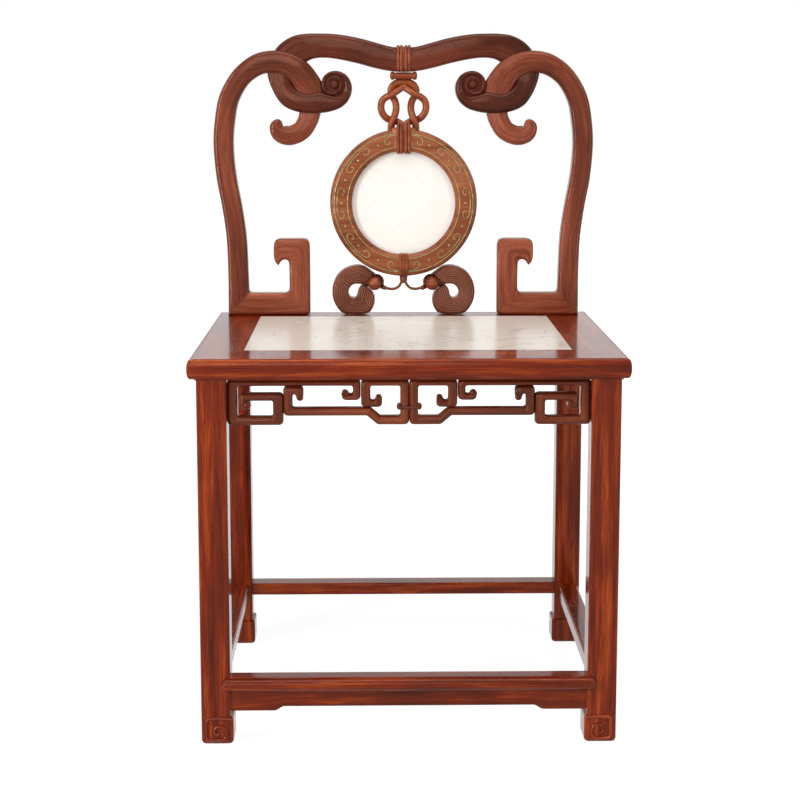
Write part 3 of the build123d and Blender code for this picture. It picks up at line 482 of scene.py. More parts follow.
class Shop:
    """The finishes of the chair, each made once."""

    HARDWOOD = Hardwood("hardwood", (0.050, 0.0045, 0.0007), (0.180, 0.0135, 0.0013), (0.450, 0.0720, 0.0090))
    CARVED = Hardwood(
        "carved_wood", (0.022, 0.0032, 0.0014), (0.066, 0.0090, 0.0040), (0.160, 0.0270, 0.0120),
        roughness=0.12, gloss=0.32, streaks=0.5,
    )
    # Paler copy of the carved wood: the extra paleness paints the broad sheen on the stiles.
    SHEENED_STILE = Hardwood(
        "stile_wood_painted_sheen", (0.050, 0.0070, 0.0030), (0.160, 0.0300, 0.0130), (0.320, 0.0800, 0.0420),
        roughness=0.14, gloss=0.36, streaks=0.7,
    )
    SCROLLED = Hardwood(
        "scrolled_wood", (0.090, 0.0130, 0.0045), (0.215, 0.0430, 0.0170), (0.350, 0.0950, 0.0420),
        roughness=0.13, gloss=0.46,
    )
    KNOTTED = Hardwood(
        "knotted_wood", (0.100, 0.0140, 0.0030), (0.230, 0.0400, 0.0090), (0.380, 0.0900, 0.0280),
        roughness=0.13, gloss=0.50,
    )
    RING = Hardwood(
        "ring_wood", (0.130, 0.0280, 0.0090), (0.270, 0.0780, 0.0300), (0.400, 0.1400, 0.0650),
        roughness=0.18, gloss=0.34, streaks=0.8,
    )
    TASSEL = Hardwood(
        "tassel_wood", (0.110, 0.0280, 0.0160), (0.190, 0.0600, 0.0340), (0.260, 0.0950, 0.0600),
        # Ridges made strongly paler: partly wear, partly a painted highlight.
        roughness=0.20, gloss=0.60, streaks=0.3, worn_and_highlit_edges=0.9,
    )
    FRET = Hardwood(
        "fret_wood", (0.035, 0.0045, 0.0014), (0.120, 0.0150, 0.0038), (0.250, 0.0480, 0.0130),
        roughness=0.12, gloss=0.45, streaks=0.6,
    )
    INNER = Hardwood(
        "inner_wood", (0.040, 0.0080, 0.0035), (0.100, 0.0260, 0.0140), (0.170, 0.0540, 0.0320),
        roughness=0.40, gloss=0.20,
    )
    SEAT_MARBLE = Marble(
        "seat_marble", (0.90, 0.825, 0.735), (0.82, 0.735, 0.64), (0.42, 0.33, 0.25),
        vein_strength=0.35, roughness=0.22,
    )
    PLAQUE_MARBLE = Marble(
        "plaque_marble", (0.93, 0.915, 0.875), (0.905, 0.885, 0.84), (0.72, 0.62, 0.50),
        vein_strength=0.14, roughness=0.30,
    )
    BRASS = Wire("brass_wire", (0.42, 0.33, 0.13), (0.22, 0.20, 0.09))
    GROUND = PaleGround(
        "pale_ground", (0.90, 0.90, 0.90), (0.75, 0.75, 0.76), glow=0.77, strength=1.21, fade=(0.6, 1.6),
    )

    def __init__(self) -> None:
        """Start with nothing made."""
        self._made: dict[tuple[str, Grain], bpy.types.Material] = {}

    def get(self, finish: Finish, grain: Grain = Grain.CARVED) -> bpy.types.Material:
        """The material of a finish.

        Args:
            finish: One of the finishes above.
            grain: Run of the grain, which only matters to wood.

        Returns:
            The material, made on first use.
        """
        key = (finish.name, grain)
        if key not in self._made:
            self._made[key] = finish.material(grain)
        return self._made[key]


# ---------------------------------------------------------------- cross-sections
def rounded(width: float, depth: float, front: float, rear: float, crown: float = 0.0) -> Profile:
    """A closed section with rounded corners, the first coordinate across and the second to the front.

    Args:
        width: Size across.
        depth: Size from rear to front.
        front: Radius of the two front corners.
        rear: Radius of the two rear corners.
        crown: Rise of the front face at its middle.

    Returns:
        Points of the section, always as many.
    """
    limit = min(width, depth) * 0.48
    points: Profile = []
    quarters = ((1, -1, rear, 270), (1, 1, front, 0), (-1, 1, front, 90), (-1, -1, rear, 180))
    for across, along, radius, start in quarters:
        radius = min(radius, limit)
        reach = width / 2 - radius
        for i in range(CORNER_STEPS + 1):
            angle = math.radians(start + 90 * i / CORNER_STEPS)
            u, v = radius * math.cos(angle), radius * math.sin(angle)
            points.append((across * reach + u, along * (depth / 2 - radius) + v))
        if along == 1 and across == 1:
            points += [(reach * t, depth / 2 + crown * (1 - t * t)) for t in (0.6, 0.2, -0.2, -0.6)]
    return points


def circle(radius: float, count: int = 16, flatten: float = 1.0) -> Profile:
    """A round section, its size from rear to front changed if asked."""
    turns = [math.tau * i / count for i in range(count)]
    return [(radius * math.cos(a), radius * flatten * math.sin(a)) for a in turns]


def combed(width: float, depth: float, ridges: int, relief: float, edge: float) -> Profile:
    """A rounded section whose front is combed into ridges.

    Args:
        width: Size across.
        depth: Size from rear to front.
        ridges: Number of ridges across the front.
        relief: Depth of the grooves.
        edge: Radius that the front falls away with at both sides.

    Returns:
        Points of the section.
    """
    count = ridges * 5
    half, rear = width / 2, -depth / 2
    points: Profile = [(-half + 1.0, rear), (half - 1.0, rear), (half, rear + 1.0)]
    for i in range(count + 1):
        t = 1 - 2 * i / count
        fall = max(0.0, abs(t * half) - (half - edge)) / edge
        drop = edge * (1 - math.sqrt(max(0.0, 1 - fall * fall)))
        ridge = relief * abs(math.sin(math.pi * ridges * i / count)) ** 0.6
        points.append((t * half, depth / 2 - relief - drop * 0.9 + ridge + 1.2 * (1 - t * t)))
    points.append((-half, rear + 1.0))
    return points


def smooth(points: Sequence[Sequence[float]], steps: int, closed: bool = False) -> Rows:
    """A smooth run through points, by Catmull-Rom.

    Args:
        points: Points of any number of parts.
        steps: Pieces between two points.
        closed: Whether the run returns to its start.

    Returns:
        The denser points. The last one is left out of a closed run.
    """

    def between(t: float, p: float, q: float, r: float, s: float) -> float:
        """The value at share t from q to r, with p before and s after."""
        return 0.5 * (2 * q + (r - p) * t + (2 * p - 5 * q + 4 * r - s) * t**2 + (3 * q - p - 3 * r + s) * t**3)

    count = len(points)
    made: Rows = []
    for i in range(count if closed else count - 1):
        if closed:
            a, b, c, d = (points[(i + k) % count] for k in (-1, 0, 1, 2))
        else:
            b, c = points[i], points[i + 1]
            a = points[i - 1] if i else [2 * p - q for p, q in zip(b, c)]
            d = points[i + 2] if i + 2 < count else [2 * q - p for p, q in zip(b, c)]
        made += [tuple(between(k / steps, *four) for four in zip(a, b, c, d)) for k in range(steps)]
    return made if closed else [*made, tuple(points[-1])]


def flipped(stations: Iterable[Sequence[float]], sign: float) -> Rows:
    """Ribbon stations on the side that sign gives."""
    return [(s[0] * sign, s[1], s[2] * sign, *s[3:]) for s in stations]


def above(points: Iterable[Sequence[float]]) -> Rows:
    """Ribbon stations drawn above the seat, as stations above the floor."""
    return [(p[0], p[1] + SEAT_TOP, p[2], p[3] + SEAT_TOP, *p[4:]) for p in points]


# ---------------------------------------------------------------- meshes
@dataclass
class Section:
    """One cross-section in space: its points and where each lies in the grain."""

    points: list[Vector]
    grain: list[Vector]


def place(profile: Profile, origin: Vector, across: Vector, face: Vector, along: float) -> Section:
    """Set a flat section up in space.

    Args:
        profile: Points (across, face).
        origin: Where the section's own origin goes.
        across: Direction of the first coordinate.
        face: Direction of the second.
        along: Distance run so far, for the grain.

    Returns:
        The section.
    """
    points = [origin + across * u + face * v for u, v in profile]
    return Section(points, [Vector((u, v, along)) for u, v in profile])


class Shell:
    """A mesh made of closed skins, one piece of the chair or a part of one."""

    seed = 0

    def __init__(self) -> None:
        """Start an empty mesh, cut from its own place in the log."""
        self.mesh = bmesh.new()
        self.layer = self.mesh.verts.layers.float_vector.new("grain")
        Shell.seed += 1
        luck = random.Random(Shell.seed)
        self.shift = Vector([luck.uniform(-400.0, 400.0) for _ in range(3)])

    def row(self, section: Section) -> list[bmesh.types.BMVert]:
        """Add the vertices of one section.

        Args:
            section: The section.

        Returns:
            Its vertices.
        """
        made = []
        for point, grain in zip(section.points, section.grain):
            vertex = self.mesh.verts.new(point * MM)
            vertex[self.layer] = (grain + self.shift) * MM
            made.append(vertex)
        return made

    def skin(self, sections: Sequence[Section], closed: bool = False) -> None:
        """Join sections by quads, with flat ends unless the run is closed.

        Args:
            sections: Sections with as many points each.
            closed: Whether the last section joins the first.
        """
        rows = [self.row(section) for section in sections]
        made = []
        for i in range(len(rows) if closed else len(rows) - 1):
            a, b = rows[i], rows[(i + 1) % len(rows)]
            for j in range(len(a)):
                k = (j + 1) % len(a)
                made.append(self.mesh.faces.new((a[j], a[k], b[k], b[j])))
        if not closed:
            made.append(self.mesh.faces.new(rows[0]))
            made.append(self.mesh.faces.new(list(reversed(rows[-1]))))
        bmesh.ops.recalc_face_normals(self.mesh, faces=made)

    def dome(self, last: Section, before: Section, reach: float) -> list[Section]:
        """Sections that round an end over.

        Args:
            last: The end section.
            before: The one before it.
            reach: How far the dome stands past the end.

        Returns:
            The shrinking sections.
        """
        middle = sum(last.points, Vector()) / len(last.points)
        inner = sum(before.points, Vector()) / len(before.points)
        out = (middle - inner).normalized()
        rings = []
        for i in range(1, DOME_STEPS + 1):
            angle = math.radians(84) * i / DOME_STEPS
            size, push = math.cos(angle), math.sin(angle) * reach
            rings.append(Section([middle + (p - middle) * size + out * push for p in last.points], last.grain))
        return rings

    def ribbon(self, stations: Sequence[Sequence[float]], profile: Callable[[float, float, float], Profile]) -> None:
        """A ribbon in the upright plane from matched edges.

        Args:
            stations: (outer x, outer z, inner x, inner z, front y, rear y) down the ribbon.
            profile: Section for a width, a depth and a share of the run.
        """
        sections = []
        along, last = 0.0, None
        for number, (ox, oz, ix, iz, front, rear) in enumerate(stations):
            outer, inner = Vector((ox, 0, oz)), Vector((ix, 0, iz))
            middle = (outer + inner) / 2
            across = (outer - inner).normalized()
            along += (middle - last).length if last else 0.0
            last = middle
            origin = Vector((middle.x, (front + rear) / 2, middle.z))
            shape = profile((outer - inner).length, rear - front, number / (len(stations) - 1))
            sections.append(place(shape, origin, across, FRONT, along))
        self.skin(sections)

    def tube(
        self,
        path: Sequence[Vector],
        profile: Profile | Callable[[float], Profile],
        closed: bool = False,
        dome: float = 0.0,
    ) -> None:
        """A tube along a path that never runs straight to the front.

        Args:
            path: Points of its middle line.
            profile: Its section, or the section at each share of the run.
            closed: Whether the path returns to its start.
            dome: Reach of its rounded ends.
        """
        sections, along = [], 0.0
        count = len(path)
        for i, point in enumerate(path):
            ahead = path[(i + 1) % count] if closed or i + 1 < count else point
            behind = path[i - 1] if closed or i else point
            run = (ahead - behind).normalized()
            side = run.cross(FRONT).normalized()
            shape = profile(i / (count - 1)) if callable(profile) else profile
            sections.append(place(shape, point, side, side.cross(run), along))
            along += (path[(i + 1) % count] - point).length
        if dome:
            start, end = self.dome(sections[0], sections[1], dome), self.dome(sections[-1], sections[-2], dome)
            sections = [*reversed(start), *sections, *end]
        self.skin(sections, closed)

    def turned(self, points: Sequence[Flat], centre: Vector, axis: Vector, count: int) -> None:
        """A lathe-turned form.

        Args:
            points: (place along the axis, radius) from end to end.
            centre: Origin of the axis.
            axis: Its direction.
            count: Facets round it.
        """
        side = UP if abs(axis.z) < 0.5 else ACROSS
        self.skin([place(circle(r, count), centre + axis * t, side, side.cross(axis), t) for t, r in points])

    def bar(self, stops: Sequence[tuple[Vector, float, float]], across: Vector, face: Vector, radii: Flat) -> None:
        """A straight bar with rounded arrises.

        Args:
            stops: (centre, width, depth) along the bar.
            across: Direction of the width.
            face: Direction of the depth, to the front.
            radii: Front and rear arris.
        """
        start = stops[0][0]
        self.skin([
            place(rounded(width, depth, *radii), centre, across, face, (centre - start).length)
            for centre, width, depth in stops
        ])


class Joiner:
    """Turns shells into pieces of the chair and keeps the list of them."""

    def __init__(self, shop: Shop) -> None:
        """Start with the shop's finishes."""
        self.shop = shop
        self.made: list[str] = []

    def piece(
        self,
        name: str,
        shell: Shell,
        finish: Finish,
        slot: str | None,
        replaces: Iterable[str] = (),
        crease: float = 38.0,
    ) -> None:
        """Make one piece from a shell.

        Args:
            name: Name of the piece.
            shell: Its mesh.
            finish: Its finish.
            slot: A slot name, or None; not used.
            replaces: CAD nodes that it stands for.
            crease: Edges sharper than this many degrees stay crisp.
        """
        mesh = bpy.data.meshes.new(name)
        shell.mesh.to_mesh(mesh)
        shell.mesh.free()
        mesh.shade_smooth()
        mesh.set_sharp_from_angle(angle=math.radians(crease))
        piece = bpy.data.objects.new(name, mesh)
        bpy.context.scene.collection.objects.link(piece)
        mesh.materials.append(self.shop.get(finish))
        piece.modifiers.new("even_shading", "WEIGHTED_NORMAL").keep_sharp = True
        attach(piece, "root")
        if replaces:
            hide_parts(*replaces)
        self.made.append(name)
        LOG.info("piece %s: %d faces", name, len(mesh.polygons))

    def dress(self, node: str, grain: Grain) -> None:
        """Give a CAD node that stays the plain inner wood.

        Args:
            node: The CAD node.
            grain: Run of the grain.
        """
        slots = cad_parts[node].data.materials
        slots.clear()
        slots.append(self.shop.get(Shop.INNER, grain))
        self.made.append(node)
        LOG.info("kept %s", node)


# ---------------------------------------------------------------- seat
@dataclass
class Seat:
    """Four mitred rails with bullnose edges round a marble panel."""

    joiner: Joiner
    nose: float = 6.4
    nose_height: float = 25.5
    fullness: float = 0.62
    quirk: float = 1.3
    lip_setback: float = 3.0
    rebate: float = 16.0
    tongue: float = 8.0
    panel_arris: float = 0.7
    panel_corner: float = 0.6
    mitred_cuts: tuple[Flat, ...] = (
        (0.0, 0.78), (0.004, 0.95), (0.0125, 1.0), (0.3, 1.0), (0.7, 1.0), (0.9875, 1.0), (0.996, 0.95), (1.0, 0.78),
    )

    def profile(self, width: float) -> Profile:
        """Section of a rail: outward from the marble, and height.

        Args:
            width: Marble to arris.

        Returns:
            Its points.
        """
        half, lip, top = self.nose_height / 2, width - self.lip_setback, SEAT_TOP
        points: Profile = [(0.0, top - self.rebate), (0.0, top - 0.4), (0.4, top), (width * 0.5, top)]
        points += [(width - 0.2, top), (width + 0.3, top - self.quirk)]
        for angle in (math.pi / 2 - math.pi * i / 12 for i in range(1, 13)):
            reach = width + self.nose * math.cos(angle) ** self.fullness
            points.append((reach, top - half + half * math.sin(angle)))
        return [*points, (lip, top - self.nose_height), (lip, SEAT_UNDERSIDE), (0.0, SEAT_UNDERSIDE)]

    def rail(self, node: str, outward: Vector, run: Vector, reach: Flat, starts: Flat, ends: Flat) -> None:
        """One rail between its two mitres.

        Args:
            node: CAD node that it replaces.
            outward: Direction away from the marble.
            run: Direction of its length.
            reach: Outward place of the marble's edge and of the arris.
            starts: Where it starts along its run, at the marble and at the arris.
            ends: Where it ends, at the marble and at the arris.
        """
        inner, arris = reach
        width = arris - inner
        shell = Shell()
        sections = []
        for share, shrink in self.mitred_cuts:
            points, grain = [], []
            for d, z in self.profile(width):
                past, part = max(0.0, d - width), min(d, width) / width
                start = starts[0] + (starts[1] - starts[0]) * part - past
                end = ends[0] + (ends[1] - ends[0]) * part + past
                along = start + (end - start) * share
                points.append(outward * (inner + min(d, width) + past * shrink) + run * along + UP * z)
                grain.append(Vector((d, z, along)))
            sections.append(Section(points, grain))
        shell.skin(sections)
        self.joiner.piece(node + "_top", shell, Shop.HARDWOOD, "frame_wood", [node])

    def panel(self, half: float, front: float, rear: float) -> None:
        """The marble panel, its arris just broken.

        Args:
            half: Half its width.
            front: Its front edge, towards the front.
            rear: Its rear edge.
        """
        bottom, arris = corners("seat_marble")[0].z, self.panel_arris
        shell = Shell()
        sections = []
        for z, inset in ((bottom, 0.0), (SEAT_TOP - arris, 0.0), (SEAT_TOP - 0.15, arris)):
            size = 2 * (half - inset), rear + front - 2 * inset
            profile = rounded(*size, self.panel_corner, self.panel_corner)
            sections.append(place(profile, Vector((0, (rear - front) / 2, z)), ACROSS, FRONT, z))
        shell.skin(sections)
        self.joiner.piece("seat_panel", shell, Shop.SEAT_MARBLE, "seat_marble", ["seat_marble"], 30.0)

    def build(self) -> None:
        """Make the rails and the panel, and dress the battens. The marble's tongue is hidden in the rails."""
        low, high = corners("seat_marble")
        half, front, rear = high.x - self.tongue, -(low.y + self.tongue), high.y - self.tongue
        low, high = corners("seat_rail_front")[0], corners("seat_rail_rear")[1]
        far_half, far_front, far_rear = high.x - self.nose, -(low.y + self.nose), high.y - self.nose
        for key, outward, reach in (("front", FRONT, (front, far_front)), ("rear", -FRONT, (rear, far_rear))):
            self.rail("seat_rail_" + key, outward, outward.cross(UP), reach, (-half, -far_half), (half, far_half))
        for key, sign in SIDES:
            starts, ends = (-front, -far_front), (rear, far_rear)
            self.rail("seat_rail_" + key, ACROSS * sign, -FRONT, (half, far_half), starts, ends)
        self.panel(half, front, rear)
        for key in ("left", "right"):
            self.joiner.dress("seat_batten_" + key, Grain.ALONG_Y)


# ---------------------------------------------------------------- legs and stretchers
@dataclass
class Legs:
    """Four square legs whose feet swell inward, the front ones carved with a square scroll."""

    joiner: Joiner
    arris: float = 3.2
    foot_height: float = 36.6
    bulge: float = 3.5
    relief: float = 3.0
    line: float = 5.0
    rooted: float = 0.7

    def scroll(self) -> Profile:
        """Middle line of the carved scroll: distance in from the outer leg face, and height.

        Returns:
            Points of the line, from the inner leg face to the eye of the scroll.
        """
        return [
            (40.0, 34.6), (30.0, 34.8), (12.0, 34.8), (9.4, 34.2), (7.6, 31.6), (7.2, 24.0), (7.2, 13.0), (8.4, 8.2),
            (13.0, 6.2), (23.0, 6.2), (28.8, 7.6), (31.8, 12.2), (31.6, 19.2), (28.2, 23.6), (22.4, 24.2),
            (17.4, 21.2), (16.6, 16.2), (19.4, 12.8), (22.6, 14.6),
        ]

    def levels(self) -> Rows:
        """Sections up a leg: height, how far it has grown inward, inset all round.

        Returns:
            The sections from the floor to the seat.
        """
        bulge, top, end = self.bulge, self.foot_height, SEAT_UNDERSIDE
        return [
            (0.0, bulge - 1.0, 3.4), (1.4, bulge - 0.4, 1.5), (4.2, bulge, 0.25), (6.0, bulge, 0.0),
            (top - 3.0, bulge, 0.0), (top - 0.8, bulge - 0.6, 0.0), (top, bulge - 1.8, 0.0), (top + 0.4, 0.3, 0.0),
            (top + 1.0, 0.0, 0.0), (top + 8.0, 0.0, 0.0), (end - 8.0, 0.0, 0.0), (end, 0.0, 0.0),
        ]

    def leg(self, row: str, side: str, sign: float) -> None:
        """One leg.

        Args:
            row: Front or rear.
            side: Left or right.
            sign: Sign of X.
        """
        node = f"leg_{row}_{side}"
        low, high = corners(node)
        out_x = high.x if sign > 0 else -low.x
        face, out_y = (-1.0, -low.y) if row == "front" else (1.0, high.y)
        shell = Shell()
        stops = []
        for z, grow, inset in self.levels():
            size, middle = LEG_WIDTH + grow - 2 * inset, (LEG_WIDTH + grow) / 2
            stops.append((Vector((sign * (out_x - middle), face * (out_y - middle), z)), size, size))
        shell.bar(stops, ACROSS, FRONT, (self.arris, self.arris))
        if row == "front":
            self.carve(shell, sign, out_x, face * out_y)
        self.joiner.piece(node + "_shaft", shell, Shop.HARDWOOD, "frame_wood", [node])

    def carve(self, shell: Shell, sign: float, out_x: float, face_y: float) -> None:
        """Raise the square scroll on the front face of a foot.

        Args:
            shell: The leg's mesh.
            sign: Sign of X.
            out_x: Outer leg face.
            face_y: Front leg face.
        """
        limit = LEG_WIDTH + self.bulge - self.line / 2
        path = [
            Vector((sign * (out_x - min(d, limit)), face_y + self.rooted, z)) for d, z in smooth(self.scroll(), 4)
        ]
        depth = 2 * (self.relief + self.rooted) / self.line
        shell.tube(path, lambda t: circle(self.line / 2 * (1.0 - 0.25 * t), 12, depth), dome=1.5)

    def build(self) -> None:
        """Make the four legs."""
        for row in ("front", "rear"):
            for side, sign in SIDES:
                self.leg(row, side, sign)


@dataclass
class Stretchers:
    """The bars between the legs near the floor, and the low apron of the front one."""

    joiner: Joiner
    arris: float = 2.6
    nose: float = 9.6
    lap: float = 12.5
    back: float = 19.0
    point: float = 7.5
    ear: float = 55.6
    sweep: float = 13.6
    ear_drop: float = 5.8
    ear_land: float = 20.0
    apron_thickness: float = 12.0

    def plain(self, node: str, run: Vector, leg_inner: float) -> None:
        """A side or rear stretcher.

        Args:
            node: CAD node.
            run: Its direction.
            leg_inner: Inner leg faces from the middle.
        """
        low, high = corners(node)
        middle, size, across = (low + high) / 2, high - low, run.cross(UP)
        centre = middle - run * middle.dot(run)
        width = abs(size.dot(across))
        shell = Shell()
        stops = [(centre + run * (leg_inner * t), width, size.z) for t in (-1.004, -0.5, 0.5, 1.004)]
        shell.bar(stops, across, UP, (self.arris, self.arris))
        self.joiner.piece(node + "_bar", shell, Shop.HARDWOOD, "frame_wood", [node])

    def nosing(self, room: float, half: float) -> Profile:
        """Section of the foot rail's nose, smaller towards the point where it ends.

        Args:
            room: Distance left to the tip, as a share of the point, 1 at most.
            half: Half the rail's height.

        Returns:
            Points (forward, height).
        """
        size = half * (0.04 + 0.96 * room**0.6)
        bulge = self.nose * (0.2 + 0.8 * room**0.5)
        turns = [math.pi / 2 - math.pi * i / 14 for i in range(15)]
        return [(-1.0, size * 0.9), *[(bulge * math.cos(a), size * math.sin(a)) for a in turns], (-1.0, -size * 0.9)]

    def front(self, leg_inner: float, face_y: float) -> None:
        """The foot rail with its half-round nose, pointed where it laps the legs.

        Args:
            leg_inner: Inner leg faces from the middle.
            face_y: Front leg faces.
        """
        low, high = corners("stretcher_front")
        middle, half = (low.z + high.z) / 2, (high.z - low.z) / 2
        shell = Shell()
        spots = [Vector((leg_inner * t, face_y + self.back / 2, middle)) for t in (-1.01, -0.4, 0.4, 1.01)]
        shell.bar([(spot, self.back, 2 * half) for spot in spots], FRONT, UP, (0.6, 1.6))
        tip = leg_inner + self.lap
        ends = [tip - self.point * (1 - math.sin(math.radians(a))) for a in range(6, 91, 12)]
        sections = []
        for x in [*[-end for end in reversed(ends)], -leg_inner / 2, leg_inner / 2, *ends]:
            profile = self.nosing(min(1.0, (tip - abs(x)) / self.point), half)
            sections.append(place(profile, Vector((x, face_y, middle)), FRONT, UP, x))
        shell.skin(sections)
        self.joiner.piece("stretcher_front_bar", shell, Shop.HARDWOOD, "frame_wood", ["stretcher_front"])

    def apron(self, leg_inner: float) -> None:
        """The apron under the foot rail, with an S-shaped step near each end.

        Args:
            leg_inner: Inner leg faces from the middle.
        """
        low, high = corners("stretcher_apron")
        lift, start = self.ear_drop, leg_inner - self.ear
        half = [(0.0, lift), (start * 0.6, lift)]
        for t in (i / 8 for i in range(9)):
            half.append((start - self.sweep * (1 - t), lift * (0.5 + 0.5 * math.cos(math.pi * t))))
        half += [(leg_inner - self.ear_land, 0.0), (leg_inner + 0.5, 0.0)]
        shell = Shell()
        y = low.y + self.apron_thickness / 2
        sections = []
        for x, z in [*[(-x, z) for x, z in reversed(half[1:])], *half]:
            height = high.z - low.z - z
            profile = rounded(self.apron_thickness, height, 0.4, 3.0)
            sections.append(place(profile, Vector((x, y, low.z + z + height / 2)), FRONT, UP, x))
        shell.skin(sections)
        self.joiner.piece("stretcher_apron_board", shell, Shop.HARDWOOD, "frame_wood", ["stretcher_apron"])

    def build(self) -> None:
        """Make all the bars."""
        low, high = corners("leg_front_right")
        inner_x, inner_y = high.x - LEG_WIDTH, -low.y - LEG_WIDTH
        for key, run, reach in (("right", FRONT, inner_y), ("left", FRONT, inner_y), ("rear", ACROSS, inner_x)):
            self.plain("stretcher_" + key, run, reach)
        self.front(inner_x, low.y)
        self.apron(inner_x)


# ---------------------------------------------------------------- frets
@dataclass
class Fret:
    """An openwork scroll fret under one rail: an outer and an inner strap to each side, and a tie."""

    joiner: Joiner
    key: str
    half: float
    hooked: bool
    origin: Vector
    across: Vector
    ends: tuple[str, str]
    thickness: float = 14.0
    outer_round: float = 6.4
    inner_round: float = 3.0
    knob: float = 4.6

    @property
    def out(self) -> Vector:
        """Direction that its face looks to."""
        return self.across.cross(UP)

    def outer_path(self) -> Rows:
        """Middle line and width of the outer strap: x from the middle, z, width.

        Returns:
            Points from the tie's side to the leg and back.
        """
        leg = self.half
        hook = [(81.0, 457.6, 8.6), (81.0, 452.9, 8.2), (66.2, 452.9, 9.8), (66.2, 471.5, 8.8)]
        return [
            *(hook if self.hooked else [(62.0, 471.5, 8.8)]),
            (leg - 6.8, 471.5, 13.4), (leg - 6.8, 422.8, 11.4), (leg - 64.5, 422.8, 13.4), (leg - 64.5, 453.3, 10.2),
            (leg - 20.2, 453.3, 8.4), (leg - 20.2, 441.2, 7.0), (leg - 26.0, 441.2, 7.0),
        ]

    def inner_path(self) -> Rows:
        """Middle line and width of the inner strap.

        Returns:
            Points from the curl by the leg to the curl by the tie.
        """
        side = self.half - 77.0
        return [
            (side - 14.6, 452.0, 10.0), (side - 14.6, 461.8, 10.8), (side + 0.2, 461.8, 11.8),
            (side + 0.2, 434.3, 10.8), (51.5, 434.3, 11.0), (38.2, 423.2, 11.6), (5.8, 423.2, 11.5),
            (5.8, 471.4, 8.8), (54.8, 471.4, 12.2), (54.8, 444.4, 9.0), (38.4, 444.4, 9.0), (38.4, 450.6, 9.0),
        ]

    def tip(self, spot: Vector, inward: Vector, left: Vector, half: float) -> list[tuple[Vector, Vector]]:
        """Matched edges at a rounded end of a strap, from its tip inward.

        Args:
            spot: The tip.
            inward: Direction into the strap.
            left: Direction of the left edge.
            half: Half the strap's width.

        Returns:
            Pairs of edge points.
        """
        reach = half * 0.8
        pairs = []
        for angle in (math.radians(30 * i) for i in range(4)):
            middle = spot + inward * (reach * (1 - math.cos(angle)))
            wide = half - reach + reach * math.sin(angle)
            pairs.append((middle + left * wide, middle - left * wide))
        return pairs

    def edges(self, path: Rows) -> list[tuple[Vector, Vector]]:
        """Matched left and right edges of a strap along a path.

        Args:
            path: Its middle line and the width of the run that starts at each point.

        Returns:
            Pairs of edge points, dense at the turns.
        """
        spots = [Vector((x, 0.0, z)) for x, z, _ in path]
        halves = [width / 2 for _, _, width in path]
        runs = [(b - a).normalized() for a, b in zip(spots, spots[1:])]
        lefts = [Vector((-run.z, 0.0, run.x)) for run in runs]
        pairs = self.tip(spots[0], runs[0], lefts[0], halves[0])
        for i in range(1, len(spots) - 1):
            before, after = runs[i - 1], runs[i]
            turn = before.x * after.z - before.z * after.x
            bent = []
            for sign in (1, -1):
                edge = spots[i] + lefts[i - 1] * (sign * halves[i - 1])
                gap = spots[i] + lefts[i] * (sign * halves[i]) - edge
                corner = edge + before * ((gap.x * after.z - gap.z * after.x) / turn)
                radius = self.inner_round if turn * sign > 0 else self.outer_round
                angle = math.acos(max(-1.0, min(1.0, before.dot(after))))
                reach = radius * math.tan(angle / 2)
                start, end = corner - before * reach, corner + after * reach
                shares = (0, 0.2, 0.4, 0.6, 0.8, 1)
                bent.append([start * (1 - t) ** 2 + corner * (2 * t * (1 - t)) + end * t**2 for t in shares])
            pairs += list(zip(*bent))
        return [*pairs, *reversed(self.tip(spots[-1], -runs[-1], lefts[-1], halves[-2]))]

    def strap(self, path: Rows, sign: float, curls: Sequence[Flat]) -> Shell:
        """One strap as a shell, with a small carved curl at each given end.

        Args:
            path: Its middle line and widths.
            sign: Side of the fret's middle.
            curls: Where curls stand.

        Returns:
            The shell.
        """
        shell = Shell()
        sections, along, last = [], 0.0, None
        across, out = self.across, self.out
        for left, right in self.edges(path):
            middle = (left + right) / 2
            side = (left - right).normalized()
            along += (middle - last).length if last else 0.0
            last = middle
            origin = self.origin + across * (sign * middle.x) + UP * middle.z - out * (self.thickness / 2)
            profile = rounded((left - right).length, self.thickness, 5.2, 2.0, 0.4)
            sections.append(place(profile, origin, across * (sign * side.x) + UP * side.z, out, along))
        shell.skin(sections)
        curl = [(1.0 - self.thickness, 0.9), (-2.0, 1.0), (-0.4, 0.92), (0.5, 0.7)]
        curl += [(0.7, 0.52), (0.2, 0.40), (0.9, 0.30), (1.3, 0.12)]
        for x, z in curls:
            centre = self.origin + across * (sign * x) + UP * z
            shell.turned([(t, self.knob * share) for t, share in curl], centre, out, 18)
        return shell

    def tie(self) -> None:
        """The small tie across the middle, with a bud at each end."""
        node = self.key + "_fret_tie"
        low, high = corners(node)
        centre = self.origin + UP * ((low.z + high.z) / 2) - self.out * (self.thickness / 2)
        shell = Shell()
        sizes = ((-13.4, 3.0), (-12.6, 4.6), (0.0, 4.8), (12.6, 4.6), (13.4, 3.0))
        stops = [(centre + self.across * x, height, self.thickness + 3.0) for x, height in sizes]
        shell.bar(stops, UP, self.out, (2.2, 2.2))
        bud = [(-3.0, 1.2), (-1.5, 2.6), (1.5, 3.1), (4.0, 2.4), (5.6, 1.0)]
        for x in (-13.0, 13.0):
            shell.turned(bud, centre + self.across * x + self.out * (self.thickness / 2 - 2.6), UP, 14)
        self.joiner.piece(node + "_bar", shell, Shop.FRET, "frame_wood", [node])

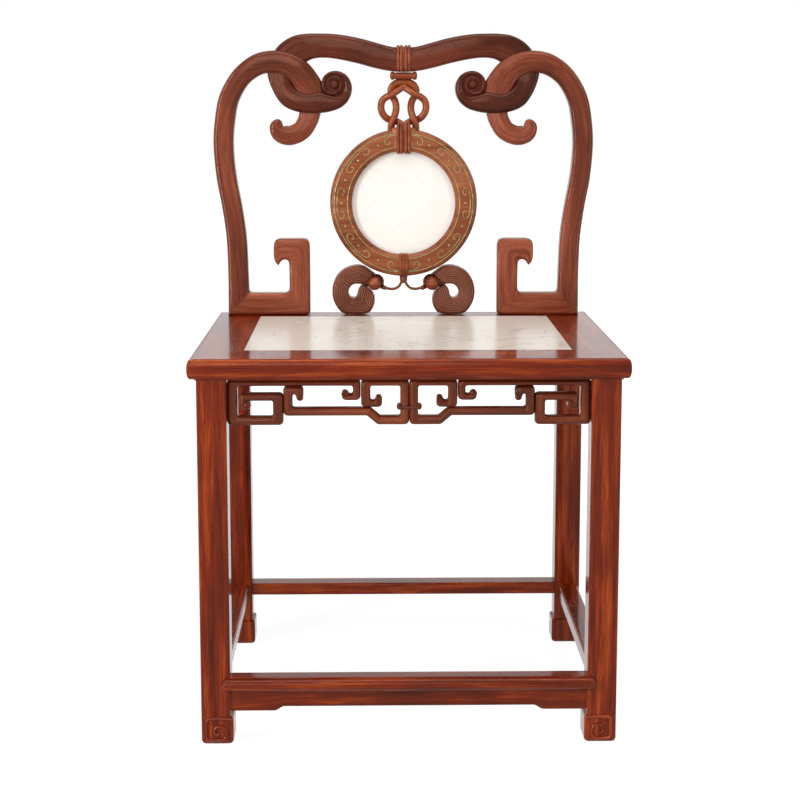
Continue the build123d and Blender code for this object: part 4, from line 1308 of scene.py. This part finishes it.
    def build(self) -> None:
        """Make the straps of both halves and the tie."""
        outer_curls = [(self.half - 25.8, 442.8)]
        if self.hooked:
            outer_curls.insert(0, (81.0, 457.4))
        inner_curls = [(38.4, 451.2), (self.half - 92.0, 453.0)]
        for end, sign in zip(self.ends, (1.0, -1.0)):
            for kind, path, curls in (
                ("outer", self.outer_path(), outer_curls), ("inner", self.inner_path(), inner_curls),
            ):
                node = f"{self.key}_fret_{kind}_{end}"
                self.joiner.piece(node + "_strap", self.strap(path, sign, curls), Shop.FRET, "frame_wood", [node])
        self.tie()


def frets(joiner: Joiner, inset: float = 6.0) -> list[Fret]:
    """The frets of front and sides, inset from the outer leg faces.

    Args:
        joiner: Who makes the pieces.
        inset: How far the straps stand behind the leg faces.

    Returns:
        The three frets.
    """
    low, high = corners("leg_front_right")
    x, y = high.x, -low.y
    return [
        Fret(joiner, "front", x - LEG_WIDTH, True, FRONT * (y - inset), ACROSS, ("right", "left")),
        Fret(joiner, "right", y - LEG_WIDTH, False, ACROSS * (x - inset), -FRONT, ("rear", "front")),
        Fret(joiner, "left", y - LEG_WIDTH, False, -ACROSS * (x - inset), FRONT, ("front", "rear")),
    ]


# ---------------------------------------------------------------- ribbon back
@dataclass
class RibbonBack:
    """Two stiles and a crest, carved as flat ribbons that lap over and under each other."""

    joiner: Joiner
    front_round: float = 6.4
    rear_round: float = 5.0
    crown: float = 0.5
    slim_front_round: float = 5.0
    slim_rear_round: float = 4.0
    corner: float = 4.5
    hook_corner: float = 7.0
    volute: Flat = (101.4, 843.6)
    bead: float = 5.2
    disc: float = 19.4

    def section(self, width: float, depth: float, _: float) -> Profile:
        """Section of a stile or the crest, the same all the way."""
        return rounded(width, depth, self.front_round, self.rear_round, self.crown)

    def slim_section(self, width: float, depth: float, _: float) -> Profile:
        """Section of a foot bar or hook, the same all the way."""
        return rounded(width, depth, self.slim_front_round, self.slim_rear_round, self.crown)

    def depths(self, front: float = 0.0, rear: float = 0.0) -> Flat:
        """Front and rear of a ribbon that is set back by these amounts."""
        return BACK_FRONT + front, BACK_REAR - rear

    def stile_line(self) -> Rows:
        """Stile after its foot: x, height above the seat, width, front set-back, rear set-back.

        Returns:
            Stations up the stile to its curled end.
        """
        return [
            (245.3, 61.8, 30.3, 0, 0), (246.7, 106.9, 30.0, 0, 0), (249.7, 136.9, 29.7, 0, 0),
            (254.3, 167.0, 29.4, 0, 0), (259.9, 197.0, 29.3, 0, 0), (263.4, 227.1, 29.2, 0, 0),
            (264.6, 257.1, 29.4, 0, 0), (262.2, 287.2, 29.6, 0, 0), (255.4, 320.2, 29.6, 0, 0),
            (237.7, 350.3, 29.5, -0.4, 2), (213.6, 368.3, 31.3, -1.0, 8), (189.6, 372.8, 32.6, -1.4, 11),
            (169.6, 369.0, 34.0, -1.4, 11), (154.3, 359.6, 36.3, -0.9, 9), (144.6, 347.0, 38.6, 0.4, 5),
            (138.2, 334.6, 40.4, 1.9, 1), (135.5, 322.7, 38.4, 3.8, 0), (135.8, 311.4, 34.8, 4.4, 0),
            (137.4, 300.0, 31.6, 3.6, 0), (140.8, 287.2, 29.7, 2, 0), (150.3, 272.6, 28.8, 0.5, 1),
            (167.1, 265.4, 28.6, 0, 2), (180.6, 268.6, 26.8, 0, 3), (186.4, 276.6, 21.4, 0, 4),
            (185.4, 283.4, 16.4, 0.6, 5), (184.6, 287.2, 11.0, 2.2, 7), (184.3, 289.4, 4.0, 5.2, 10),
        ]

    def stile(self, side: str, sign: float) -> None:
        """One stile.

        Args:
            side: Left or right.
            sign: Sign of X.
        """
        points = smooth(self.stile_line(), 4)
        r, y = self.corner, self.depths()
        stations = [
            (260.7, 0.0, 229.4 - 0.29 * r, 33.0 + 0.29 * r, *y), (260.7, 14.0, 229.4 - 0.08 * r, 33.0 + 0.62 * r, *y),
            (260.6, 28.0, 229.4, 33.0 + r + 1.0, *y), (260.4, 44.0, 229.6, 46.0, *y),
        ]
        for i, (x, z, width, front, rear) in enumerate(points):
            a, b = points[max(i - 1, 0)], points[min(i + 1, len(points) - 1)]
            run = Vector((b[0] - a[0], b[1] - a[1])).normalized()
            nx, nz = run.y * width / 2, -run.x * width / 2
            stations.append((x + nx, z + nz, x - nx, z - nz, *self.depths(front, rear)))
        shell = Shell()
        shell.ribbon(flipped(above(stations), sign), self.section)
        self.joiner.piece(f"back_stile_{side}_ribbon", shell, Shop.SHEENED_STILE, "carved_wood", ["back_stile_" + side])

    def foot_bar(self, side: str, sign: float) -> None:
        """The bar on the seat between stile and hook, mitred to both.

        Args:
            side: Left or right.
            sign: Sign of X.
        """
        r, q = self.corner, self.hook_corner
        edges = [
            (229.4 - 0.29 * r, 33 + 0.29 * r, 260.7, 0.0), (229.4 - 0.62 * r, 33 + 0.08 * r, 252.0, 0.0),
            (229.4 - r, 33.0, 240.0, 0.0), (222.0, 33.0, 226.0, 0.0), (180.0, 33.0, 176.0, 0.0),
            (169.8 + q, 33.0, 158.0, 0.0), (169.8 + 0.62 * q, 33 + 0.08 * q, 149.0, 0.0),
            (169.8 + 0.42 * q, 33 + 0.18 * q, 144.0, 0.1), (169.8 + 0.29 * q, 33 + 0.29 * q, 140.0, 1.5),
        ]
        shell = Shell()
        shell.ribbon(flipped(above([(*edge, *self.depths()) for edge in edges]), sign), self.slim_section)
        self.joiner.piece(f"back_foot_{side}_bar", shell, Shop.SCROLLED, "frame_wood", ["back_foot_" + side])

    def hook(self, side: str, sign: float) -> None:
        """The square hook with its turned-down beak.

        Args:
            side: Left or right.
            sign: Sign of X.
        """
        q = self.hook_corner
        edges = [
            (140.0, 1.5, 169.8 + 0.29 * q, 33 + 0.29 * q), (138.6, 5.5, 169.8 + 0.18 * q, 33 + 0.42 * q),
            (138.5, 16.0, 169.8 + 0.08 * q, 33 + 0.62 * q), (138.5, 32.0, 169.8, 33 + q + 1),
            (138.5, 50.0, 169.6, 52.0), (138.6, 80.0, 169.8, 72.0), (138.6, 99.0, 170.2, 77.0),
            (139.4, 107.0, 171.2, 80.2), (142.6, 112.2, 172.6, 81.6), (148.4, 114.0, 174.4, 82.2),
            (160.0, 114.0, 176.2, 82.4), (174.0, 114.0, 178.2, 82.0), (183.6, 113.8, 180.4, 81.0),
            (189.4, 111.4, 182.0, 79.4), (192.2, 105.6, 183.2, 77.8), (192.8, 96.0, 184.0, 76.4),
            (192.6, 86.6, 184.6, 75.4), (190.8, 80.4, 185.0, 74.8), (187.6, 76.2, 185.2, 74.4),
        ]
        stations = smooth([(*edge, *self.depths()) for edge in edges], 3)
        shell = Shell()
        shell.ribbon(flipped(above(stations), sign), self.slim_section)
        self.joiner.piece(f"back_hook_{side}_scroll", shell, Shop.SCROLLED, "carved_wood", ["back_hook_" + side])

    def crest_edges(self) -> Rows:
        """Right half of the crest ribbon: outer edge, inner edge, set-back of front and rear.

        Returns:
            Stations from the middle to the eye of the volute.
        """
        return [
            (0.0, 896.0, 0.0, 862.0, 0, 0), (20.0, 899.0, 20.5, 863.2, 0, 0), (42.0, 904.8, 45.0, 868.2, 0, 0),
            (65.0, 911.0, 68.0, 874.4, 0, 0), (94.9, 916.2, 94.0, 880.0, 0, 0), (120.0, 917.6, 114.0, 882.4, 0, 0),
            (143.0, 917.2, 130.0, 881.4, 0.8, 0), (160.0, 914.2, 141.0, 877.0, 2.4, 0),
            (176.0, 906.0, 150.0, 871.0, 3.8, 0), (188.0, 894.0, 158.0, 863.5, 4.4, 0),
            (196.5, 878.0, 163.0, 855.0, 4.2, 0), (199.2, 860.0, 163.0, 846.5, 2.8, 3),
            (195.2, 843.5, 158.8, 838.4, 1.2, 7), (186.6, 825.6, 152.4, 833.0, -0.4, 10),
            (175.6, 812.6, 145.5, 830.2, -1.1, 11), (158.0, 804.6, 137.0, 830.2, -1.4, 11),
            (137.0, 801.8, 128.5, 832.0, -1.4, 10), (119.0, 802.4, 119.4, 832.8, -1.2, 6),
            (105.0, 805.0, 108.4, 829.8, -0.8, 3), (92.4, 809.8, 97.5, 828.2, -0.6, 2),
            (82.0, 818.8, 90.8, 833.2, -0.6, 2), (76.3, 831.0, 87.6, 840.6, -0.6, 2),
            (76.1, 844.0, 88.6, 848.6, -0.6, 2), (82.2, 856.0, 93.4, 854.4, -0.6, 2),
            (93.4, 862.8, 99.6, 857.0, -0.6, 2), (106.4, 862.8, 106.4, 856.2, -0.6, 2),
            (117.0, 855.4, 112.0, 852.0, -0.6, 2), (120.2, 844.4, 114.6, 845.0, -0.6, 2),
            (116.6, 833.6, 113.0, 837.8, -0.6, 2), (107.4, 828.2, 107.0, 833.6, -0.6, 3),
            (97.2, 829.4, 100.2, 834.2, -0.4, 3), (90.2, 836.6, 95.2, 838.6, -0.2, 4),
            (89.4, 846.2, 94.2, 845.4, 0, 4), (95.4, 853.6, 98.0, 849.8, 0.2, 5),
            (104.0, 855.0, 103.4, 851.2, 0.4, 5), (110.6, 850.0, 107.8, 848.0, 0.6, 6),
        ]

    def crest(self) -> None:
        """The crest ribbon from volute to volute."""
        half = [(*edge[:4], *self.depths(*edge[4:])) for edge in self.crest_edges()]
        shell = Shell()
        shell.ribbon(smooth([*reversed(flipped(half[1:], -1.0)), *half], 5), self.section)
        r, disc = self.bead, self.disc
        dome = [(-19.0, disc - 2.0), (-4.0, disc), (-2.8, disc - 0.8), (-2.5, r * 1.25)]
        dome += [(-1.6, r * 1.12), (0.0, r), (1.0, r * 0.72), (1.4, r * 0.3)]
        for _, sign in SIDES:
            shell.turned(dome, Vector((sign * self.volute[0], BACK_FRONT, self.volute[1])), FRONT, 28)
        self.joiner.piece("crest_ribbon", shell, Shop.CARVED, "carved_wood", ["crest_rail"])

    def build(self) -> None:
        """Make the whole back frame."""
        for side, sign in SIDES:
            self.stile(side, sign)
            self.foot_bar(side, sign)
            self.hook(side, sign)
        self.crest()


# ---------------------------------------------------------------- plaque
@dataclass
class Plaque:
    """The marble disc in its turned ring, inlaid with thin brass lines."""

    joiner: Joiner
    outer: float = 108.8
    window: float = 76.3
    bevel: float = 82.0
    face: float = 98.0
    facets: int = 120
    marble_front: float = 15.0
    marble_rear: float = 7.0
    wire: float = 0.62
    line_radii: Flat = (82.8, 102.2)
    line_sinks: Flat = (0.55, 0.35)
    dot_radii: Flat = (91.5, 92.4)

    def ring_section(self) -> Profile:
        """Section of the ring: distance from its centre, and forward.

        Returns:
            Points of the section.
        """
        front, rear = RING_FRONT, RING_REAR
        marble = rear - self.marble_front
        return [
            (self.window, -marble), (self.window, -front - 5.5), (self.window + 0.8, -front - 4.2),
            (self.bevel - 0.8, -front - 1.0), (self.bevel, -front - 0.7), (self.bevel + 1.5, -front - 0.4),
            ((self.bevel + self.outer) / 2, -front), (self.outer - 7.0, -front - 0.5),
            (self.outer - 4.2, -front - 1.4), (self.outer - 2.0, -front - 3.0), (self.outer - 0.6, -front - 5.4),
            (self.outer, -front - 8.0), (self.outer, -rear + 4.0), (self.outer - 1.2, -rear + 1.2),
            (self.outer - 4.0, -rear), (self.outer - 13.0, -rear), (self.window + 20.0, -rear),
            (self.window + 7.0, -rear + 8.0),
        ]

    def ring(self) -> None:
        """The turned ring, its grain running straight across it."""
        shell = Shell()
        sections = []
        for i in range(self.facets):
            angle = math.tau * i / self.facets
            radial = Vector((math.cos(angle), 0.0, math.sin(angle)))
            made = place(self.ring_section(), Vector((0, 0, RING_Z)), radial, FRONT, 0.0)
            made.grain = [Vector((p.z, p.y, p.x)) for p in made.points]
            sections.append(made)
        shell.skin(sections, closed=True)
        self.joiner.piece("plaque_ring_turned", shell, Shop.RING, "ring_wood", ["plaque_ring"], 50.0)

    def disc(self) -> None:
        """The white marble, very slightly domed."""
        front, rear, window = self.marble_front - RING_REAR, self.marble_rear - RING_REAR, self.window
        points = [(rear, window + 6.0), (front, window + 6.0), (front + 0.2, window - 1), (front + 0.5, window * 0.7)]
        points += [(front + 0.7, window * 0.35), (front + 0.75, 1.0)]
        shell = Shell()
        shell.turned(points, Vector((0, 0, RING_Z)), FRONT, 96)
        self.joiner.piece("plaque_disc", shell, Shop.PLAQUE_MARBLE, "plaque_marble", ["plaque_marble"])

    def polar(self, radius: float, degrees: float) -> Vector:
        """A point on the ring's face."""
        angle = math.radians(degrees)
        return Vector((radius * math.cos(angle), RING_FRONT + 0.1, RING_Z + radius * math.sin(angle)))

    def scroll(self, centre: float, half: float) -> list[Vector]:
        """A C-scroll: an arc along the ring whose two ends curl inward.

        Args:
            centre: Angle of its middle.
            half: Half the angle that it spans.

        Returns:
            Points of the wire.
        """
        curl = [(98.2, 0.80), (96.4, 1.05), (92.6, 1.12), (89.6, 0.96), (89.2, 0.72), (91.2, 0.60), (93.2, 0.70)]
        end = [(radius, half * share) for radius, share in curl]
        arc = [(self.face + 0.4, half * share) for share in (-0.5, -0.2, 0.2, 0.5)]
        points = [*reversed([(r, -a) for r, a in end]), *arc, *end]
        return [self.polar(r, centre + a) for r, a in smooth(points, 4)]

    def half_scroll(self, centre: float, sign: float) -> list[Vector]:
        """The half scroll beside a binding, curled at the end away from it.

        Args:
            centre: Angle where it meets the binding.
            sign: Direction away from the binding.

        Returns:
            Points of the wire.
        """
        points = [(100.6, 0.0), (100.2, 5.2), (98.0, 9.2), (94.6, 11.0)]
        points += [(90.9, 11.0), (88.8, 9.2), (89.8, 6.8), (92.6, 6.6)]
        return [self.polar(r, centre + sign * a) for r, a in smooth(points, 4)]

    def dot(self, shell: Shell, radius: float, degrees: float) -> None:
        """A small brass dot.

        Args:
            shell: The inlay's mesh.
            radius: Distance from the plaque's centre.
            degrees: Its angle.
        """
        shell.turned([(-0.6, 1.5), (0.3, 1.5), (0.7, 1.0), (0.8, 0.2)], self.polar(radius, degrees), FRONT, 14)

    def inlay(self) -> None:
        """All the brass lines and dots."""
        shell = Shell()
        thin = circle(self.wire * 0.9, 8)
        for radius, sink in zip(self.line_radii, self.line_sinks):
            path = [self.polar(radius, 360 * i / self.facets) - FRONT * sink for i in range(self.facets)]
            shell.tube(path, circle(self.wire, 8), closed=True)
        for centre in (0.0, 43.0, 137.0, 180.0, 223.0, 317.0):
            shell.tube(self.scroll(centre, 12.4), thin, dome=0.4)
            self.dot(shell, self.dot_radii[0], centre)
        for binding, start in ((90.0, 6.2), (270.0, 3.4)):
            for sign in (-1.0, 1.0):
                shell.tube(self.half_scroll(binding + sign * start, sign), thin, dome=0.4)
        for centre in (21.5, 66.0, 114.0, 158.5, 201.5, 246.0, 294.0, 338.5):
            self.dot(shell, self.dot_radii[1], centre)
        self.joiner.piece("plaque_inlay", shell, Shop.BRASS, None)

    def build(self) -> None:
        """Make ring, marble and inlay, and dress the rear ring."""
        self.ring()
        self.disc()
        self.inlay()
        self.joiner.dress("plaque_rear_ring", Grain.ALONG_X)


# ---------------------------------------------------------------- hanging parts
@dataclass
class Hangings:
    """Bindings, knot, tassels and the thin cord that tie the plaque between crest and seat."""

    joiner: Joiner
    strand: float = 5.3
    proud: float = 3.4
    wrap_round: float = 6.0
    cord: float = 2.15
    cord_stagger: float = 0.6
    bead_centre: Flat = (42.8, 46.6)
    bead: float = 10.3
    comb_ridges: int = 10
    collar: float = 17.4
    start_sinks: tuple[float, ...] = (10.0, 8.4, 6.4, 4.4, 2.0, 0.5)

    def wrapped(self, shell: Shell, node: str, ribs: Sequence[Flat]) -> None:
        """Cords bound round a bar, side by side.

        Args:
            shell: Mesh to add to.
            node: CAD node of the binding.
            ribs: (middle, width) of each rib across the chair.
        """
        low, high = corners(node)
        middle = Vector((0.0, (low.y + high.y) / 2, (low.z + high.z) / 2))
        sections = []
        for centre, width in ribs:
            for angle in (math.pi * i / 8 for i in range(9)):
                x = centre - width / 2 * math.cos(angle)
                sink = self.proud * 0.55 * (1 - math.sin(angle))
                size = high.z - low.z - 2 * sink, high.y - low.y - 2 * sink
                profile = rounded(*size, self.wrap_round, self.wrap_round)
                sections.append(place(profile, middle + ACROSS * x, UP, FRONT, x * 6.0))
        shell.skin(sections)

    def bindings(self) -> None:
        """The three bindings, and the swellings beside the upper two."""
        pairs = ((-8.2, 4.3), (-3.5, 4.3), (3.5, 4.3), (8.2, 4.3))
        three = ((-4.3, 4.2), (0.0, 4.2), (4.3, 4.2))
        for node, ribs in (("crest_binding", pairs), ("plaque_binding_top", pairs), ("plaque_binding_bottom", three)):
            shell = Shell()
            self.wrapped(shell, node, ribs)
            self.joiner.piece(node + "_cords", shell, Shop.KNOTTED, "carved_wood", [node])
        self.swelling("crest_swelling", "crest_binding", Shop.CARVED, (2.0, 1.4))
        self.swelling("ring_swelling", "plaque_binding_top", Shop.RING, (5.6, 4.6))

    def swelling(self, name: str, node: str, finish: Hardwood, drops: Flat) -> None:
        """The soft swelling of the wood that a binding is drawn round.

        Args:
            name: Name of the piece.
            node: The binding.
            finish: Wood of what is bound.
            drops: How far it stays below the binding at its upper and lower face.
        """
        low, high = corners(node)
        top, bottom = high.z - drops[0], low.z + drops[1]
        half = [(0.58, 2.0), (0.64, 2.2), (0.92, 4.6), (1.0, 5.0)]
        shell = Shell()
        stops = []
        for x, sink in [*[(-x, sink) for x, sink in reversed(half)], *half]:
            centre = Vector((x * self.collar, (low.y + high.y) / 2, (top + bottom) / 2))
            stops.append((centre, top - bottom - 2.0, high.y - low.y - 2 * sink))
        shell.bar(stops, UP, FRONT, (5.0, 5.0))
        self.joiner.piece(name, shell, finish, "carved_wood")

    def spool(self) -> None:
        """The small barrel under the crest, with knobbed ends."""
        low, high = corners("knot_spool")
        middle = (low + high) / 2 - UP * 0.8
        half, tall, deep = high.x, (high.z - low.z) * 1.26, high.y - low.y
        sizes = [(1.0, 0.30), (0.99, 0.55), (0.95, 0.82), (0.88, 0.98), (0.80, 1.0), (0.72, 0.94), (0.67, 0.78)]
        sizes += [(0.64, 0.74), (0.60, 0.80), (0.5, 0.84)]
        shell = Shell()
        stops = []
        for x, size in [*[(-x, size) for x, size in sizes], (0.0, 0.86), *reversed(sizes)]:
            stops.append((middle + ACROSS * (x * half), tall * size, deep * (0.5 + 0.5 * size)))
        shell.bar(stops, UP, FRONT, (tall * 0.45, tall * 0.45))
        self.joiner.piece("knot_spool_barrel", shell, Shop.KNOTTED, "carved_wood", ["knot_spool"])

    def knot(self) -> None:
        """Two knotted strands: each loop passes over, then under, the arch."""
        bow = [
            (0.0, 337.2, 1.0), (4.6, 333.8, 0.0), (10.6, 329.8, -3.0), (17.5, 324.8, -4.6), (25.0, 321.6, -2.0),
            (31.0, 316.2, 0.0), (33.2, 307.7, 0.0), (31.5, 299.0, 0.0), (26.6, 292.2, 1.5), (20.0, 288.2, 4.4),
            (12.8, 287.0, 4.0), (6.0, 283.6, 1.0), (0.0, 279.6, 0.0),
        ]
        arch = [
            (0.0, 343.0, 0.0), (9.2, 342.2, 0.0), (15.8, 338.0, 0.0), (18.6, 330.8, 1.0), (16.6, 322.8, 4.4),
            (12.4, 315.6, 3.5), (10.8, 307.6, 1.0), (11.6, 299.4, -1.0), (14.2, 291.4, -4.0), (17.4, 283.2, -4.0),
            (18.4, 274.4, -1.0), (18.4, 264.0, 0.0),
        ]
        ring = [*bow, *[(-x, z, d) for x, z, d in reversed(bow[1:-1])]]
        arc = [*[(-x, z, d) for x, z, d in reversed(arch[1:])], *arch]
        strand = circle(self.strand, 16, 1.05)
        shell = Shell()
        shell.tube(self.drawn(smooth(ring, 6, True)), strand, closed=True)
        shell.tube(self.drawn(smooth(arc, 6)), strand, dome=1.0)
        self.joiner.piece("hanging_knot_strands", shell, Shop.KNOTTED, "carved_wood", ["hanging_knot"])

    def drawn(self, points: Rows) -> list[Vector]:
        """Points (x, height above the seat, set-back) in the middle plane of the back."""
        return [Vector((x, BACK_MIDDLE + d, z + SEAT_TOP)) for x, z, d in points]

    def tassel_edges(self) -> Rows:
        """The combed curl of a tassel: outer edge, inner edge, above the seat.

        Returns:
            Stations from the bead round to the tail.
        """
        return [
            (35.0, 51.6, 37.0, 43.6), (41.0, 59.4, 46.4, 40.6), (47.6, 65.0, 53.4, 41.0), (53.8, 69.4, 59.0, 43.4),
            (60.6, 73.0, 64.0, 45.2), (70.2, 74.2, 69.6, 45.6), (81.8, 71.6, 74.4, 44.8), (93.0, 65.4, 78.2, 42.0),
            (101.4, 54.8, 80.6, 38.2), (106.0, 40.4, 81.6, 34.0), (105.4, 24.4, 80.8, 29.8), (99.6, 11.4, 78.4, 26.8),
            (90.4, 2.0, 74.6, 25.4), (77.0, 0.4, 71.6, 26.4), (62.0, 0.4, 69.8, 29.0), (50.6, 3.4, 68.8, 32.0),
            (44.2, 13.0, 68.2, 35.2), (42.4, 21.4, 67.2, 38.2), (43.4, 29.0, 65.6, 40.8), (46.4, 35.0, 63.2, 43.4),
            (50.0, 38.6, 60.4, 44.2),
        ]

    def ball(self, radius: float, length: float = 1.0) -> Profile:
        """Half outline of a turned ball, shortened along its axis if asked."""
        turns = [math.pi * i / 14 for i in range(15)]
        return [(-radius * length * math.cos(a), max(0.2, radius * math.sin(a))) for a in turns]

    def combing(self, width: float, depth: float, share: float) -> Profile:
        """Section of a tassel's curl, hatched crosswise towards its tail.

        Args:
            width: Width of the curl.
            depth: Its depth.
            share: Share of its run.

        Returns:
            Points of the section.
        """
        hatch = max(0.0, min(1.0, (share - 0.72) / 0.06)) * 0.55
        relief = 1.5 * (1.0 - hatch * (0.5 + 0.5 * math.cos(math.tau * share * 110)))
        return combed(width, depth, self.comb_ridges, relief, 5.0)

    def curl(self, side: str, sign: float) -> None:
        """The combed curl of a tassel, which starts behind the bead.

        Args:
            side: Left or right.
            sign: Sign of X.
        """
        low, high = corners("tassel_" + side)
        edges, sinks = self.tassel_edges(), self.start_sinks
        stations = []
        for i, edge in enumerate(edges):
            sink = sinks[i] if i < len(sinks) else 2.4 * max(0.0, i / (len(edges) - 1) - 0.7)
            stations.append((*edge, low.y + 0.8 + sink, high.y - 0.5))
        shell = Shell()
        shell.ribbon(flipped(above(smooth(stations, 12)), sign), self.combing)
        self.joiner.piece(f"tassel_{side}_curl", shell, Shop.TASSEL, "carved_wood", ["tassel_" + side])

    def tassel(self, side: str, sign: float) -> None:
        """One tassel: combed curl, then a bead in its hood with a knob beside each; both hoods are dark wood, painted
        shade.

        Args:
            side: Left or right.
            sign: Sign of X.
        """
        self.curl(side, sign)
        x, z = self.bead_centre
        bead, away = Vector((sign * x, BACK_FRONT + 6.0, SEAT_TOP + z)), ACROSS * sign
        # The hoods take the dark carved wood as painted shadow round the bead and the knob.
        shade_hood = Shell()
        shade_hood.turned(self.ball(self.bead + 1.6), bead + Vector((-sign * 2.2, 5.0, 2.2)), away, 32)
        shade_hood.turned(self.ball(4.8, 0.7), Vector((sign * 31.8, BACK_MIDDLE, SEAT_TOP + 41.8)), away, 20)
        self.joiner.piece(f"tassel_{side}_hood", shade_hood, Shop.CARVED, "carved_wood")
        balls = Shell()
        balls.turned(self.ball(self.bead), bead, away, 36)
        balls.turned(self.ball(3.6), Vector((sign * 28.4, BACK_MIDDLE - 4.0, SEAT_TOP + 40.0)), away, 20)
        self.joiner.piece(f"tassel_{side}_bead", balls, Shop.SCROLLED, "carved_wood")

    def thin_cord(self) -> None:
        """The thin cord from tassel to tassel, hung from a bulb."""
        half = [(28.0, 39.8), (24.0, 38.6), (18.0, 37.6), (12.0, 38.4), (7.0, 41.6), (3.4, 47.0)]
        shell = Shell()
        for _, sign in SIDES:
            points = [(sign * x, z, sign * self.cord_stagger) for x, z in half]
            shell.tube(self.drawn(smooth(points, 5)), circle(self.cord, 12), dome=1.2)
        bulb = [(-6.2, 1.6), (-5.0, 3.8), (-2.4, 5.7), (1.0, 6.0), (4.0, 4.8), (6.6, 4.0)]
        shell.turned(bulb, Vector((0.0, BACK_MIDDLE, SEAT_TOP + 52.6)), UP, 24)
        self.joiner.piece("tassel_cord_line", shell, Shop.RING, "carved_wood", ["tassel_cord"])

    def build(self) -> None:
        """Make everything that hangs."""
        self.bindings()
        self.spool()
        self.knot()
        for side, sign in SIDES:
            self.tassel(side, sign)
        self.thin_cord()


# ---------------------------------------------------------------- studio
@dataclass(frozen=True)
class Lamp:
    """A soft rectangular lamp: its stand and the size of its panel in metres, and its power in watts."""

    name: str
    spot: Triple
    size: Flat
    power: float

    def hang(self, aim: Triple) -> None:
        """Set the lamp up.

        Args:
            aim: What it points at, in metres.
        """
        data = bpy.data.lights.new(self.name, "AREA")
        data.shape = "RECTANGLE"
        data.size, data.size_y = self.size
        data.energy = self.power
        lamp = bpy.data.objects.new(self.name, data)
        lamp.location = self.spot
        lamp.rotation_euler = (Vector(aim) - Vector(self.spot)).to_track_quat("-Z", "Y").to_euler()
        bpy.context.scene.collection.objects.link(lamp)


@dataclass
class Studio:
    """Camera, soft lamps, pale floor and white surroundings."""

    shop: Shop
    camera_place: Triple = (-44.7, -2258.8, 836.3)
    camera_turn: float = 0.0161
    camera_tilt: float = 0.1382
    lens: float = 74.52
    shift: float = -0.10
    ambient: float = 0.20
    floor_reach: float = 12.0
    aim: Triple = (0.0, 0.0, 0.5)
    lamps: tuple[Lamp, ...] = (
        Lamp("strip_left", (-1.9, -1.3, 1.0), (0.30, 1.8), 34.0),
        Lamp("strip_right", (1.9, -1.3, 1.0), (0.30, 1.8), 9.0),
        Lamp("panel_top", (0.0, -0.6, 2.4), (1.8, 1.4), 26.0),
        Lamp("panel_front", (-0.4, -3.2, 1.5), (1.4, 1.0), 13.0),
    )

    def camera(self) -> None:
        """Set the camera up."""
        data = bpy.data.cameras.new("camera")
        data.lens, data.shift_y, data.clip_start = self.lens, self.shift, 0.05
        camera = bpy.data.objects.new("camera", data)
        camera.location = Vector(self.camera_place) * MM
        camera.rotation_euler = (math.pi / 2 - self.camera_tilt, 0.0, -self.camera_turn)
        bpy.context.scene.collection.objects.link(camera)
        bpy.context.scene.camera = camera

    def surroundings(self) -> None:
        """Even light for the chair, and white for what the camera and reflections see."""
        world = bpy.data.worlds.new("surroundings")
        bpy.context.scene.world = world
        world.use_nodes = True
        bench = Bench(world.node_tree)
        strength = bench.seen() * (1.0 - self.ambient) + self.ambient
        glow = bench.signal("ShaderNodeBackground", 0, None, {"Color": WHITE, "Strength": strength})
        bench.node("ShaderNodeOutputWorld", None, {0: glow})

    def floor(self) -> None:
        """A wide pale floor."""
        grid = bmesh.new()
        bmesh.ops.create_grid(grid, x_segments=2, y_segments=2, size=self.floor_reach)
        mesh = bpy.data.meshes.new("floor")
        grid.to_mesh(mesh)
        grid.free()
        mesh.materials.append(self.shop.get(Shop.GROUND))
        floor = bpy.data.objects.new("floor", mesh)
        bpy.context.scene.collection.objects.link(floor)

    def build(self) -> None:
        """Set the studio up: a tall lamp on each side, one above and a weak one by the camera."""
        bpy.context.scene.view_settings.view_transform = "Standard"
        self.camera()
        for lamp in self.lamps:
            lamp.hang(self.aim)
        self.surroundings()
        self.floor()


def main() -> None:
    """Build the chair and its studio."""
    logging.basicConfig(level=logging.INFO, format="%(name)s: %(message)s")
    shop = Shop()
    joiner = Joiner(shop)
    Studio(shop).build()
    for part in (Seat(joiner), Legs(joiner), Stretchers(joiner), *frets(joiner)):
        part.build()
    joiner.dress("rear_apron", Grain.ALONG_X)
    for part in (RibbonBack(joiner), Plaque(joiner), Hangings(joiner)):
        part.build()
    LOG.info("%d pieces", len(joiner.made))


if __name__ == "__main__":
    main()
